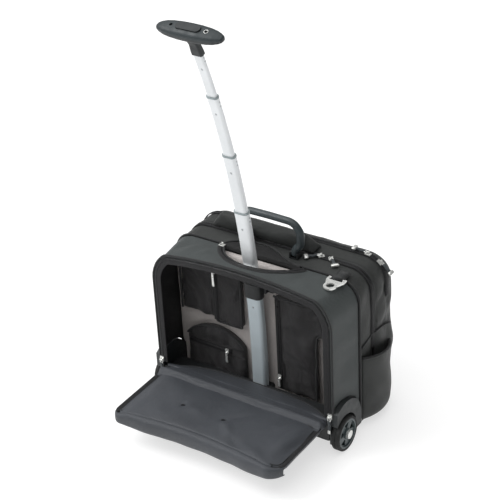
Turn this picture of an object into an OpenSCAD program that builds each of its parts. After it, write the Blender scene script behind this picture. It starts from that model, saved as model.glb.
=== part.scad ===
/* [Case] */
// Width of the case across its side panels
case_w = 424; // [400:1:440]
// Height of the top edge above the floor
case_top = 343; // [330:1:352]
// How far the arched rear face rises above the top edge
crown_rise = 15; // [8:1:20]
// Depth of the zipped rear compartment
rear_depth = 94; // [88:1:100]
// Depth of the middle compartment for the laptop
main_depth = 56; // [50:1:70]
// Depth of the front compartment
front_depth = 90; // [80:1:100]
// Thickness of the fabric and foam walls
wall = 5; // [4:0.5:6]

/* [Telescopic pole] */
// Radius of the arc that the whole pole follows
pole_r = 2015; // [1950:5:2080]
// Width of the fixed tube
tube_w = 34; // [33:0.5:36]
// Depth of the fixed tube
tube_d = 19; // [18:0.5:20]
// How much narrower each next stage is
step_w = 3.6; // [3.2:0.1:3.8]
// How much shallower each next stage is
step_d = 2.6; // [2.4:0.1:2.7]
// Length of the T grip
grip_len = 137; // [125:1:145]
// Depth of the T grip
grip_d = 35; // [32:1:38]
// Height of the T grip
grip_h = 24; // [20:1:25]

/* [Wheels] */
// Outer radius of the tyre
wheel_r = 37; // [35:0.5:38]
// Width of the tyre
tyre_w = 18; // [16:1:18]
// Radius of the axle
axle_r = 4; // [3.5:0.1:4.5]

/* [Rear door] */
// Half width of the door
door_hw = 194.5; // [185:0.5:194.5]
// Height of the door's hinge line above the floor
hinge_z = 70; // [70:1:72]
// Distance from the hinge line to the fold between the panel and its top flap
fold_u = 176; // [170:1:197]

/* [Carry handle] */
// Half width of the arch
arch_hw = 77; // [72:1:80]
// Height of the top of the arch above the floor
arch_top = 430; // [420:1:436]

/* [Hidden] */
$fn = 64;

// The frame's origin is on the floor, under the middle of the whole object. Every module below
// measures y from the plane of the rear face, so placed() carries it from there into the frame.
rear_y = -31;
hw = case_w / 2;
rear_hw = hw - 7;
front_hw = hw + 3;
shell_z = 26;
sill_z = 76;
seam_y = rear_depth;
main_y = rear_depth + main_depth;
front_y = main_y + front_depth;
rear_top = case_top + crown_rise;
crown_r = 1000;
corner_rear = 78;
corner_top = 45;
corner_low = 14;
fit = 0.3;

// Lens-shaped slot in the top, where the pole comes out
slot_hw = 92;
slot_near = 31;
slot_far = 90;
slot_r = (pow(slot_hw, 2) + pow(slot_far - slot_near, 2)) / (2 * (slot_far - slot_near));

// Wheels and their housings
wheel_y = 30;
wheel_x0 = 204;
fender_y = 34;
fender_z = 50;
fender_r = 58;
well_r = wheel_r + 5;
web_x = 198.3;

// Pole: arc centre, and stations measured as arc lengths from the centre's own height
arc_y = 62 - pole_r;
arc_z = 102;
tube_foot = -66;
tube_head = 198;
collar_s = [172, 206];
stage_s = [[130, 377], [300, 512], [440, 652], [580, 757]];
ring_up = 1.8;
ring_down = 1.2;
slide_gap = 0.3;
grip_s = 802;
neck_s = 752;
lock_down = 38;
button_l = 50;
button_w = 15;
button_travel = 3;
split_z = 1;
well_z = -8;

// Carry handle, yoke and shoulder-strap rings
arch_y = 120;
arch_t = 16;
pin_x = 56.5;
pin_z = case_top + 11;
yoke_x = [-158, 84];
ring_x = 172;
ring_bar_y = 84;
ring_bar_z = case_top + 5;
side_ring_y = 119;
side_ring_z = 240;

// Door
hinge_y = -10;
fold_y = hinge_y - fold_u;
fold_z = hinge_z - 9.5;
flap_z = [fold_z - 14.5, fold_z - 3.5];

// Inside pockets hang on the divider, in front of it
pocket_y = [62, 77.7];
zip_x_upper = -100;
zip_z_lower = 114;
zip_x_side = 48;

module placed() { translate([0, rear_y, 0]) children(); }

// Stands an outline drawn in x and z up, between two depths
module upright(y0, y1) {
  translate([0, y1, 0]) rotate([90, 0, 0]) linear_extrude(y1 - y0) children();
}

// Rectangle that is wide by twice hx, with its own radius for the lower and the upper corners
module rounded(hx, z0, z1, r_low, r_top) {
  translate([-hx, z0 + r_low]) square([2 * hx, z1 - r_top - z0 - r_low]);
  translate([-hx + r_top, z0 + r_low]) square([2 * (hx - r_top), z1 - z0 - r_low]);
  translate([-hx + r_low, z0]) square([2 * (hx - r_low), r_low + 1]);
  for (s = [-1, 1]) translate([s * (hx - r_top), z1 - r_top]) circle(r_top);
  for (s = [-1, 1]) translate([s * (hx - r_low), z0 + r_low]) circle(r_low);
}

// Outline of the rear face, arched along its top, drawn in by i
module rear_outline(i) {
  intersection() {
    rounded(rear_hw - i, shell_z + i, rear_top - i, corner_low - i / 2, corner_rear - i);
    translate([0, rear_top - i - crown_r]) circle(crown_r, $fn = 720);
  }
}
module mid_outline(i) { rounded(hw - i, shell_z + i, case_top - i, corner_low, corner_top - i); }
module front_outline(i) {
  rounded(front_hw - i, shell_z + i, case_top - i, corner_low, corner_top - i);
}

// Solid of the rear compartment, from the rear face to the piping, drawn in by i
module rear_solid(i, y0, y1) {
  hull() {
    upright(y0, y0 + 1) rear_outline(i, $fn = 40);
    upright(y1 - 1, y1) mid_outline(i, $fn = 40);
  }
}
module front_solid(i) {
  hull() {
    upright(main_y - 0.7 + i, main_y + 50) front_outline(i, $fn = 40);
    upright(front_y - 12, front_y - 8 - i / 2)
      rounded(front_hw - 7 - i, shell_z + 2 + i, case_top - 17 - i, 14, 40, $fn = 40);
    upright(front_y - 3 - i, front_y - i)
      rounded(front_hw - 24 - i, shell_z + 12 + i, case_top - 40 - i, 20, 46, $fn = 40);
  }
}
module slot_prism(i, z0, z1) {
  intersection() {
    translate([0, slot_near + slot_r, z0]) cylinder(r = slot_r - i, h = z1 - z0, $fn = 128);
    translate([-slot_hw - 5, slot_near - 5, z0])
      cube([2 * slot_hw + 10, slot_far - slot_near + 5 - i, z1 - z0]);
  }
}
// Room that a wheel housing takes out of the case, for both sides
module housing_room(gap) {
  for (s = [0, 1]) mirror([s, 0, 0])
    translate([web_x - gap, fender_y, fender_z]) rotate([0, 90, 0])
      cylinder(r = fender_r + gap, h = 40, $fn = 96);
  for (s = [0, 1]) mirror([s, 0, 0])
    translate([web_x - gap, -5, -5]) cube([40, fender_y + fender_r + gap + 5, fender_z + 5]);
  for (s = [0, 1]) mirror([s, 0, 0])
    translate([web_x - 14, wheel_y, wheel_r]) rotate([0, 90, 0]) cylinder(r = 6 + gap, h = 20);
}

module rear_gusset() {
  color("#3f4344") placed() difference() {
    rear_solid(0, 0, seam_y - 0.3);
    rear_solid(wall, -1, seam_y + 1);
    slot_prism(0, 300, 380);
    housing_room(fit);
  }
}
module divider_panel() {
  color("#857f7e") placed() difference() {
    upright(78, 92) rounded(hw - 7.5, shell_z + wall + 0.2, case_top - 7.5, 12, 52);
    housing_room(fit);
  }
}
module main_compartment() {
  color("#343735") placed() difference() {
    union() {
      upright(seam_y + 4, main_y - 1) mid_outline(0);
      upright(seam_y - 0.3, seam_y + 4.5) mid_outline(wall + 0.3);
    }
    upright(seam_y + 4.5, main_y - 1 - wall) mid_outline(wall + 0.3);
  }
}
module laptop_sleeve() {
  sleeve_w = 370;
  sleeve_h = 240;
  sleeve_y = [seam_y + 9, main_y - 10];
  color("#2a2c2d") placed() difference() {
    translate([-sleeve_w / 2, sleeve_y[0], shell_z + wall + 0.3])
      cube([sleeve_w, sleeve_y[1] - sleeve_y[0], sleeve_h]);
    translate([-sleeve_w / 2 + 7, sleeve_y[0] + 7, shell_z + wall + 9])
      cube([sleeve_w - 14, sleeve_y[1] - sleeve_y[0] - 14, sleeve_h]);
  }
}
module front_compartment() {
  color("#343735") placed() difference() {
    front_solid(0);
    front_solid(wall);
  }
}
module front_pocket() {
  color("#3a3d3c") placed() difference() {
    hull() {
      upright(front_y + 0.2, front_y + 5) rounded(183, 52, 282, 20, 30, $fn = 40);
      upright(front_y + 12, front_y + 14) rounded(172, 62, 268, 20, 26, $fn = 40);
    }
    upright(front_y + 3, front_y + 9) rounded(168, 66, 262, 20, 26, $fn = 40);
  }
}

// Side pocket for a bottle: a bowed wall and a floor, open at its slanted mouth
module bottle_pockets() {
  base_x = front_hw + 0.3;
  bow = 20;
  half = 56;
  mid = 156;
  bow_r = (pow(half, 2) + pow(bow, 2)) / (2 * bow);
  floor_z = 14;
  color("#343735") placed() for (s = [0, 1]) mirror([s, 0, 0]) difference() {
    union() {
      intersection() {
        translate([base_x + bow - bow_r, mid, floor_z]) cylinder(r = bow_r, h = 176, $fn = 128);
        translate([base_x, mid - half, floor_z]) cube([bow + 1, 2 * half, 176]);
      }
      translate([hw + 0.3, mid - half, floor_z + 12])
        cube([base_x - hw - 0.29, main_y - 2 - mid + half, 164]);
    }
    intersection() {
      translate([base_x + bow - bow_r, mid, floor_z + 5]) cylinder(r = bow_r - 3, h = 180, $fn = 128);
      translate([base_x + 1.2, mid - half - 1, floor_z + 5]) cube([bow + 1, 2 * half + 2, 180]);
    }
    translate([base_x + 1.2, mid - half - 20, floor_z + 158]) rotate([-9, 0, 0]) cube([40, 3 * half, 60]);
  }
}
module piping() {
  cord = 2.5;
  color("#242626") placed() {
    upright(seam_y - 0.3, seam_y + 4) difference() { mid_outline(-cord); mid_outline(wall); }
    difference() {
      upright(0.3, 4) rear_outline(-cord);
      rear_solid(-0.1, -1, seam_y);
      housing_room(fit);
      translate([-hw, -1, 0]) cube([2 * hw, 8, sill_z + 10]);
    }
  }
}
module zip_tapes() {
  tape = 8;
  raised = 1.5;
  color("#1c1d1e") placed() {
    // round the door's opening
    difference() {
      intersection() {
        upright(0.5, 3) difference() { rear_outline(wall); rear_outline(wall + tape); }
        rear_solid(wall + 0.1, -1, seam_y + 1);
      }
      translate([-hw, -1, 0]) cube([2 * hw, 6, sill_z]);
      housing_room(fit);
    }
    // round the pole's slot
    difference() {
      intersection() { slot_prism(0, 330, 380); rear_solid(0, 0, seam_y - 0.3); }
      rear_solid(2.5, -1, seam_y + 1);
      slot_prism(4, 300, 400);
    }
    // over the top of the middle and the front compartments
    intersection() {
      upright(main_y - 9, main_y - 1) difference() { mid_outline(-raised); mid_outline(0); }
      translate([-hw - 5, main_y - 20, 190]) cube([case_w + 10, 30, 200]);
    }
    intersection() {
      upright(main_y + 42, main_y + 50) difference() { front_outline(-raised); front_outline(0); }
      translate([-hw - 9, main_y + 30, 240]) cube([case_w + 18, 30, 200]);
    }
    // on the inside pockets
    translate([zip_x_upper - 4, pocket_y[0] - 1.6, 186]) cube([8, 1.6, 118]);
    translate([-172, pocket_y[0] - 1.6, zip_z_lower - 4]) cube([102, 1.6, 8]);
    translate([zip_x_side - 4, pocket_y[0] - 1.6, 68]) cube([8, 1.6, 204]);
  }
}
module base_tray() {
  tray_y0 = 30;
  tray_y1 = front_y - 10;
  color("#1e1f20") placed() difference() {
    translate([0, 0, shell_z - 13]) linear_extrude(13)
      rounded(hw - 8, tray_y0, tray_y1, 14, 30);
    housing_room(fit);
    upright(seam_y - 0.6, seam_y + 4.3) mid_outline(-2.8);
  }
}
module kick_plate() {
  half = web_x - 1.5;
  shelf_z = 58;
  color("#1e1f20") placed() difference() {
    union() {
      upright(0.3, wall) rounded(half, shell_z + wall + 0.2, sill_z - 2, 6, 3);
      translate([-half, 0.3, shelf_z]) cube([2 * half, 57.7, 6]);
    }
    translate([-18.2, 51.2, shelf_z - 1]) cube([36.4, 10, 8]);
  }
}

// Moulded side of a wheel: a web that holds the axle, and an arched fender round the tyre
module wheel_housings() {
  low = shell_z - 4;
  color("#2b2f30") placed() for (s = [0, 1]) mirror([s, 0, 0]) difference() {
    union() {
      intersection() {
        translate([web_x, fender_y, fender_z]) rotate([0, 90, 0])
          cylinder(r = fender_r, h = 18, $fn = 96);
        translate([web_x, 0.3, low]) cube([30, 200, 200]);
      }
      intersection() {
        translate([web_x, 0.3, low]) cube([18, fender_y + fender_r - 0.3, fender_z - low]);
        translate([web_x, fender_y, fender_z]) rotate([0, 90, 0])
          cylinder(r = fender_r + 30, h = 18, $fn = 96);
      }
      translate([web_x - 10, wheel_y, wheel_r]) rotate([0, 90, 0]) cylinder(r = 5.6, h = 11);
    }
    translate([web_x + 3, wheel_y, wheel_r]) rotate([0, 90, 0]) cylinder(r = well_r, h = 30, $fn = 96);
    translate([web_x - 11, wheel_y, wheel_r]) rotate([0, 90, 0]) cylinder(r = axle_r, h = 30);
  }
}
module axles() {
  x0 = web_x - 10;
  x1 = wheel_x0 + tyre_w + 2;
  color("#b9bcbd") placed() for (s = [0, 1]) mirror([s, 0, 0])
    translate([0, wheel_y, wheel_r]) rotate([0, 90, 0]) {
      translate([0, 0, x0 - 3]) cylinder(r = 5.4, h = 3);
      translate([0, 0, x0]) cylinder(r = axle_r, h = x1 - x0);
      translate([0, 0, x1 - 1.6]) cylinder(r = 6, h = 1.6);
    }
}
module skid_feet() {
  foot_x = 150;
  foot_y = front_y - 32;
  color("#151616") placed() for (s = [-1, 1]) translate([s * foot_x, foot_y, 0]) {
    cylinder(r = 12, h = shell_z - 13);
    translate([0, -34, 0]) cylinder(r = 12, h = shell_z - 13);
    translate([-12, -34, 0]) cube([24, 34, shell_z - 13]);
  }
}

// One wheel, drawn on the right and mirrored for the left
module sided(left) {
  placed() mirror([left ? 1 : 0, 0, 0]) translate([wheel_x0, wheel_y, wheel_r])
    rotate([0, 90, 0]) children();
}
module rim_shape() {
  rim_r = wheel_r - 5.55;
  difference() {
    union() {
      difference() {
        translate([0, 0, 1.5]) cylinder(r = rim_r, h = tyre_w - 2, $fn = 96);
        translate([0, 0, tyre_w - 3]) cylinder(r = rim_r - 4, h = 5, $fn = 96);
        translate([0, 0, 0]) cylinder(r = rim_r - 4, h = 6, $fn = 96);
      }
      translate([0, 0, 1.5]) cylinder(r = 11, h = tyre_w - 1);
    }
    for (k = [0:4]) rotate([0, 0, 36 + 72 * k])
      linear_extrude(tyre_w + 5) polygon([[13.5, -2.4], [25, -9.2], [25, 9.2], [13.5, 2.4]]);
    translate([0, 0, -1]) cylinder(r = 6.5, h = tyre_w + 5);
  }
}
module tyre_shape() {
  rotate_extrude($fn = 96) difference() {
    union() {
      translate([wheel_r - 5.5, 0]) square([5.5 - 3, tyre_w]);
      translate([wheel_r - 5.5, 3]) square([5.5, tyre_w - 6]);
      translate([wheel_r - 3, 3]) circle(3);
      translate([wheel_r - 3, tyre_w - 3]) circle(3);
    }
    square([wheel_r - 5.5, tyre_w]);
    translate([wheel_r - 0.8, tyre_w / 2 - 1]) square([2, 2]);
  }
}
module cap_shape() {
  translate([0, 0, tyre_w + 0.5]) difference() {
    rotate_extrude() intersection() {
      translate([0, -14]) circle(20.5, $fn = 96);
      square([9, 8]);
    }
    translate([0, 0, -1]) cylinder(r = 7.3, h = 3.6);
  }
}
module bush_shape() {
  translate([0, 0, 1.2]) difference() {
    cylinder(r = 6.5, h = tyre_w - 1);
    translate([0, 0, -1]) cylinder(r = axle_r + 0.05, h = tyre_w + 5);
  }
}
module wheel_rim_left() { color("#495354") sided(true) rim_shape(); }
module wheel_rim_right() { color("#495354") sided(false) rim_shape(); }
module tyre_left() { color("#101111") sided(true) tyre_shape(); }
module tyre_right() { color("#101111") sided(false) tyre_shape(); }
module hub_cap_left() { color("#d5d8d4") sided(true) cap_shape(); }
module hub_cap_right() { color("#d5d8d4") sided(false) cap_shape(); }
module wheel_bush_left() { color("#c9c6b8") sided(true) bush_shape(); }
module wheel_bush_right() { color("#c9c6b8") sided(false) bush_shape(); }

// Pole: arc_sweep() carries an outline in (radial, x) along the arc between two stations
function arc_deg(s) = s / pole_r * 180 / PI;
module arc_sweep(s0, s1) {
  placed() translate([0, arc_y, arc_z]) rotate([arc_deg(s0), 0, 0]) rotate([90, 0, 90])
    rotate_extrude(angle = arc_deg(s1 - s0), $fn = 2880) translate([pole_r, 0]) children();
}
module on_arc(s) {
  placed() translate([0, arc_y, arc_z]) rotate([arc_deg(s), 0, 0]) translate([0, pole_r, 0]) children();
}
module section(d, w, r) {
  translate([-d / 2 + r, -w / 2]) square([d - 2 * r, w]);
  translate([-d / 2, -w / 2 + r]) square([d, w - 2 * r]);
  for (i = [-1, 1], j = [-1, 1]) translate([i * (d / 2 - r), j * (w / 2 - r)]) circle(r, $fn = 32);
}
// Section of tube number k, 0 for the fixed one, grown by g on every side
module tube_section(k, g) {
  section(tube_d - k * step_d + 2 * g, tube_w - k * step_w + 2 * g, 0.42 * (tube_d - k * step_d) + g);
}
module hollow_tube(k, s0, s1, hole_s) {
  difference() {
    arc_sweep(s0, s1) difference() { tube_section(k, 0); tube_section(k + 1, slide_gap / 2); }
    on_arc(hole_s) rotate([90, 0, 0]) cylinder(r = 2.4, h = 30, $fn = 32);
  }
}
module outer_tube() { color("#c9cfd1") hollow_tube(0, tube_foot, tube_head, 150); }
module stage_tube(k) { hollow_tube(k, stage_s[k - 1][0], stage_s[k - 1][1], stage_s[k - 1][1] - lock_down); }
module stage_tube_1() { color("#dfe3e4") stage_tube(1); }
module stage_tube_2() { color("#dfe3e4") stage_tube(2); }
module stage_tube_3() { color("#dfe3e4") stage_tube(3); }
module stage_tube_4() { color("#dfe3e4") stage_tube(4); }
module end_ring(k) {
  top = stage_s[k - 1][1];
  difference() {
    arc_sweep(top - ring_down, top + ring_up) tube_section(k, 0.8);
    arc_sweep(top - ring_down - 1, top) tube_section(k, 0);
    arc_sweep(top - 1, top + ring_up + 1) tube_section(k + 1, slide_gap / 2);
  }
}
module end_ring_1() { color("#9aa0a3") end_ring(1); }
module end_ring_2() { color("#9aa0a3") end_ring(2); }
module end_ring_3() { color("#9aa0a3") end_ring(3); }
module collar() {
  color("#2f3436") difference() {
    arc_sweep(collar_s[0], collar_s[1]) tube_section(0, 2.6);
    arc_sweep(collar_s[0] - 1, tube_head) tube_section(0, 0);
    arc_sweep(tube_head - 1, collar_s[1] + 1) tube_section(1, slide_gap / 2);
  }
}
module collar_bracket() {
  arm = 38;
  color("#1b1c1d") difference() {
    placed() {
      upright(68, 77.8) rounded(arm, 282, 304, 6, 10);
      upright(57, 77.8) rounded(26, 284, 300, 2, 2);
    }
    arc_sweep(collar_s[0] - 20, collar_s[1] + 20) tube_section(0, 2.75);
  }
}
module pole_bracket() {
  color("#1b1c1d") difference() {
    placed() {
      translate([-30, 40, shell_z + wall + 0.3]) cube([60, 37.7, 12]);
      upright(46, 77.7) rounded(23, shell_z + wall + 0.3, 57.6, 2, 4);
    }
    arc_sweep(tube_foot, tube_foot + 60) tube_section(0, 0.05);
  }
}

// T grip: a bar with blunt rounded ends, drawn about its own centre with z along the pole
function oval(a, b) = [for (t = [0:11.25:348.75])
  [a * sign(cos(t)) * pow(abs(cos(t)), 0.76), b * sign(sin(t)) * pow(abs(sin(t)), 0.76)]];
module grip_form() {
  stations = [[0, 1], [0.3, 0.975], [0.56, 0.89], [0.74, 0.77], [0.88, 0.58], [0.96, 0.41], [1, 0.22]];
  hull() for (s = [-1, 1], p = stations)
    translate([s * p[0] * (grip_len / 2 - 0.1), 0, 0]) rotate([90, 0, 90])
      linear_extrude(0.1) polygon(oval(p[1] * grip_d / 2, p[1] * grip_h / 2));
}
module stadium(l, w, z0, z1) {
  translate([0, 0, z0]) {
    for (s = [-1, 1]) translate([s * (l - w) / 2, 0, 0]) cylinder(d = w, h = z1 - z0);
    translate([-(l - w) / 2, -w / 2, 0]) cube([l - w, w, z1 - z0]);
  }
}
module grip_lower() {
  foot = neck_s - grip_s;
  color("#272c2e") {
    on_arc(grip_s) difference() {
      intersection() { grip_form(); translate([-90, -40, -40]) cube([180, 80, 40 + split_z]); }
      stadium(44, 16, well_z, 20);
      translate([0, 0, -30]) cylinder(r = 2.3, h = 60);
      for (s = [-1, 1]) translate([s * 36, 0, -4]) cylinder(r = 1.5, h = 20);
    }
    difference() {
      on_arc(grip_s) {
        hull() {
          translate([0, 0, -grip_h / 2 + 1.2]) linear_extrude(0.5) section_xy(27, 16, 6);
          translate([0, 0, -26]) linear_extrude(0.5) section_xy(20, 12, 4);
        }
        hull() {
          translate([0, 0, -26.2]) linear_extrude(0.5) section_xy(20, 12, 4);
          translate([0, 0, foot + 6]) linear_extrude(0.5) section_xy(23.6, 12.6, 4);
        }
        translate([0, 0, foot]) linear_extrude(6.3) section_xy(23.6, 12.6, 4);
      }
      arc_sweep(neck_s - 2, stage_s[3][1]) tube_section(4, 0.02);
      on_arc(grip_s) translate([0, 0, -60]) cylinder(r = 2.3, h = 80);
    }
  }
}
module section_xy(w, d, r) { rotate(90) section(d, w, r, $fn = 24); }
module grip_upper() {
  color("#3d474a") on_arc(grip_s) difference() {
    intersection() { grip_form(); translate([-90, -40, split_z]) cube([180, 80, 40]); }
    stadium(button_l + 1, button_w + 1, 3, 30);
    translate([0, 0, -20]) cylinder(r = 2.3, h = 40);
    for (s = [-1, 1]) translate([s * 36, 0, 4]) cylinder(r = 3.2, h = 20);
    for (s = [-1, 1]) translate([s * 36, 0, -5]) cylinder(r = 1.5, h = 20);
  }
}
module grip_screws() {
  color("#8d9294") on_arc(grip_s) for (s = [-1, 1]) translate([s * 36, 0, 0]) {
    translate([0, 0, 4]) cylinder(r = 3, h = 1.8);
    translate([0, 0, -3]) cylinder(r = 1.4, h = 7.5);
  }
}
module release_button() {
  rod_end = -64;
  color("#2d3335") on_arc(grip_s) {
    stadium(button_l, button_w, 3 + button_travel + 0.6, grip_h / 2 + 2);
    translate([0, 0, rod_end]) cylinder(r = 1.9, h = 3 + button_travel + 1 - rod_end);
    translate([0, 0, split_z - 1.3]) cylinder(r = 5.4, h = 1.2);
  }
}
// Coil spring round the button's rod, made as one swept tube
module button_spring() {
  turns = 5;
  per_turn = 16;
  sides = 6;
  coil_r = 4.4;
  wire_r = 0.45;
  z0 = well_z + 0.05;
  z1 = split_z - 1.35;
  steps = turns * per_turn;
  pts = [for (k = [0:steps], j = [0:sides - 1])
    let (a = 360 * k / per_turn, b = 360 * j / sides, r = coil_r + wire_r * cos(b))
    [r * cos(a), r * sin(a), z0 + wire_r + (z1 - z0 - 2 * wire_r) * k / steps + wire_r * sin(b)]];
  walls = [for (k = [0:steps - 1], j = [0:sides - 1])
    let (a = k * sides, n = (j + 1) % sides) [a + sides + j, a + sides + n, a + n, a + j]];
  first = [for (j = [0:sides - 1]) j];
  last = [for (j = [0:sides - 1]) steps * sides + sides - 1 - j];
  color("#b5b8ba") on_arc(grip_s) polyhedron(pts, concat(walls, [first, last]));
}

// Door: a stiff panel and a shorter flap that folds flat under it
module door_panel() {
  color("#4c5053") placed() {
    translate([-door_hw, hinge_y, hinge_z]) rotate([0, 90, 0]) cylinder(r = 8.5, h = 2 * door_hw);
    translate([-door_hw, fold_y + 6.5, hinge_z - 8.5]) cube([2 * door_hw, fold_u - 6.5, 10.5]);
  }
}
module door_lining() {
  color("#54585b") placed() translate([0, 0, hinge_z + 2.3]) linear_extrude(6.7)
    rounded(door_hw - 9, fold_y + 7, hinge_y - 8.8, 16, 8);
}
module door_flap() {
  color("#4c5053") placed() {
    translate([-door_hw + 6, fold_y, fold_z]) rotate([0, 90, 0]) cylinder(r = 6, h = 2 * door_hw - 12);
    // the shut flap's own outline, laid down so that its lower edge is on the fold
    translate([0, fold_y - hinge_z - fold_u, flap_z[0]]) linear_extrude(flap_z[1] - flap_z[0])
      intersection() {
        rear_outline(4);
        translate([-door_hw, hinge_z + fold_u]) square([2 * door_hw, 120]);
      }
  }
}

// Carry handle: an arch on two eyes that turn on the anchors' pins
module carry_handle() {
  leg = 15;
  color("#474e50") placed() difference() {
    union() {
      upright(arch_y - arch_t / 2, arch_y + arch_t / 2) {
        difference() {
          rounded(arch_hw, pin_z, arch_top, 5, 34);
          rounded(arch_hw - leg, pin_z - 20, arch_top - 17, 5, 20);
          translate([-arch_hw - 1, pin_z - 1]) square([2 * arch_hw + 2, 19]);
        }
        for (s = [-1, 1]) scale([s, 1]) polygon([[pin_x - 6, pin_z], [pin_x + 6, pin_z],
          [pin_x + 6, pin_z + 7], [arch_hw, pin_z + 18.5], [arch_hw - leg, pin_z + 18.5],
          [pin_x - 6, pin_z + 8]]);
      }
      for (s = [-1, 1]) translate([s * pin_x - 6, arch_y, pin_z]) rotate([0, 90, 0])
        cylinder(r = arch_t / 2, h = 12);
    }
    for (s = [-1, 1]) translate([s * pin_x - 8, arch_y, pin_z]) rotate([0, 90, 0])
      cylinder(r = 2.55, h = 16, $fn = 32);
  }
}
module handle_anchors() {
  color("#1b1c1d") placed() for (s = [-1, 1]) translate([s * pin_x, arch_y, 0]) {
    difference() {
      translate([-10, -8.6, case_top + 0.05]) cube([20, 17.2, 14.3]);
      translate([-6.5, -10, case_top + 2.4]) cube([13, 20, 40]);
    }
    translate([-9, 0, pin_z]) rotate([0, 90, 0]) cylinder(r = 2.5, h = 18, $fn = 32);
  }
}
// Raised bridge of padded fabric behind the handle
module handle_yoke() {
  color("#3c3f3f") placed() hull() {
    translate([yoke_x[0], main_y - 9, case_top + 1.8]) cube([yoke_x[1] - yoke_x[0], 40, 1]);
    translate([yoke_x[0] + 22, main_y - 8, case_top + 30]) cube([yoke_x[1] - yoke_x[0] - 44, 16, 8]);
  }
}

// Shoulder-strap rings: one lies on the top, the other hangs on the left side panel. Both are
// drawn about the middle of their bar, with the bar along x and the plate towards -y.
module ring_place(left) {
  if (left) placed() translate([-hw - 5, side_ring_y, side_ring_z]) rotate([90, 0, 90]) children();
  else placed() translate([ring_x, ring_bar_y, ring_bar_z]) children();
}
module d_ring() {
  t = 3;
  color("#c9ccca") {
    translate([0, 0, -t / 2]) difference() {
      union() {
        linear_extrude(t) polygon([[-19, 2], [19, 2], [19, -9], [11.5, -26], [-11.5, -26], [-19, -9]]);
        translate([0, -28, 0]) cylinder(r = 13, h = t);
      }
      translate([0, -27, -1]) cylinder(r = 8, h = t + 2);
      translate([-13.5, -8, -1]) cube([27, 11, t + 2]);
    }
    translate([-14, 0, 0]) rotate([0, 90, 0]) cylinder(r = 2, h = 28);
  }
}
module d_ring_left() { ring_place(true) d_ring(); }
module d_ring_right() { ring_place(false) d_ring(); }
module strap_loops() {
  color("#1d1f1f") difference() {
    for (left = [true, false]) ring_place(left) difference() {
      translate([-12, -4.6, -4.6]) cube([24, 13.4, 9.2]);
      translate([-13, -3.2, -3.2]) cube([26, 6.4, 6.4]);
    }
    placed() rear_solid(-0.1, -1, seam_y);
  }
}

// Inside pockets, each a shallow pouch of mesh on the divider
module mesh_pocket_upper() {
  color("#211f20") placed() upright(pocket_y[0], pocket_y[1]) {
    translate([-186, 186]) square([86, 128]);
    translate([-101, 178]) square([61, 120]);
  }
}
module mesh_pocket_lower() {
  color("#211f20") placed() upright(pocket_y[0], pocket_y[1]) intersection() {
    translate([-178, 38]) square([140, 125]);
    translate([-108, 72]) circle(89, $fn = 96);
  }
}
module mesh_pocket_side() {
  color("#211f20") placed() upright(pocket_y[0], pocket_y[1]) {
    translate([38, 60]) square([94, 220]);
    translate([131, 216]) square([22, 50]);
  }
}

// Zip slider and its pull, drawn with the zip along x and the cloth in the plane z = 0
pin_h = 4.8;
module slider() {
  translate([-6, -4.5, 0.1]) cube([12, 9, 2.3]);
  for (s = [-1, 1]) translate([-1.9, s * 3 - 0.6, 1]) cube([3.8, 1.2, 5.6]);
  translate([0, -3.6, pin_h]) rotate([-90, 0, 0]) cylinder(r = 1.2, h = 7.2, $fn = 24);
}
module pull(len, cap) {
  difference() {
    union() {
      translate([0, -2.1, pin_h]) rotate([-90, 0, 0]) cylinder(r = 2.2, h = 4.2, $fn = 32);
      translate([1, -2.1, pin_h - 0.8]) cube([9, 4.2, 1.6]);
      translate([9, -3.6, pin_h - 1.1]) cube([len - 12, 7.2, 2.2]);
      translate([len - 4, -cap, pin_h - 1.9]) cube([4, 2 * cap, 3.8]);
    }
    translate([0, -3, pin_h]) rotate([-90, 0, 0]) cylinder(r = 1.26, h = 6, $fn = 32);
  }
}
top_zip = case_top + 1.6;
pull_len = 34;
// Where each slider sits: the front pair rides over the rounded shoulder of the compartment
module at_main(x) { placed() translate([x, main_y - 5, top_zip]) children(); }
module at_front(turn) {
  placed() translate([front_hw - corner_top, main_y + 46, case_top - corner_top]) rotate([0, turn, 0])
    translate([0, 0, corner_top + 1.6]) children();
}
module at_door(left) {
  placed() mirror([left ? 1 : 0, 0, 0]) translate([200.3, 0, 90]) rotate([90, 0, 0])
    rotate([0, 0, -90]) children();
}
module zip_sliders() {
  color("#c9ccc8") {
    at_main(100) rotate(-139) slider();
    at_main(122) rotate(-45) slider();
    at_front(6) rotate(180) slider();
    at_front(40) slider();
    at_door(true) slider();
    at_door(false) slider();
    placed() translate([-slot_hw - 2, slot_far - 4, case_top + 1.8]) rotate(180) slider();
  }
}
module main_pull_left() { color("#4a5052") at_main(100) rotate(-139) pull(pull_len, 7); }
module main_pull_right() { color("#4a5052") at_main(122) rotate(-45) pull(pull_len, 7); }
module front_pull_left() { color("#4a5052") at_front(6) rotate(180) pull(pull_len, 7); }
module front_pull_right() { color("#4a5052") at_front(40) pull(pull_len, 7); }
module door_pull_left() { color("#4a5052") at_door(true) pull(pull_len + 4, 3.4); }
module door_pull_right() { color("#4a5052") at_door(false) pull(pull_len + 4, 3.4); }

// Pocket zips: slider and puller run along the tape as one piece
module pocket_slider(x, z, turn) {
  color("#d2d4cf") placed() translate([x, pocket_y[0] - 1.9, z]) rotate([90, 0, 0])
    rotate([0, 0, turn]) {
      translate([-5, -3.6, 0]) cube([10, 7.2, 2.6]);
      translate([2, -1, 2.6]) cube([2.4, 2, 1.6]);
      translate([2, -2.4, 3.4]) cube([20, 4.8, 1.4]);
    }
}
module upper_pocket_slider() { pocket_slider(zip_x_upper, 298, -90); }
module lower_pocket_slider() { pocket_slider(-78, zip_z_lower, -90); }
module side_pocket_slider() { pocket_slider(zip_x_side, 94, -90); }

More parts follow.
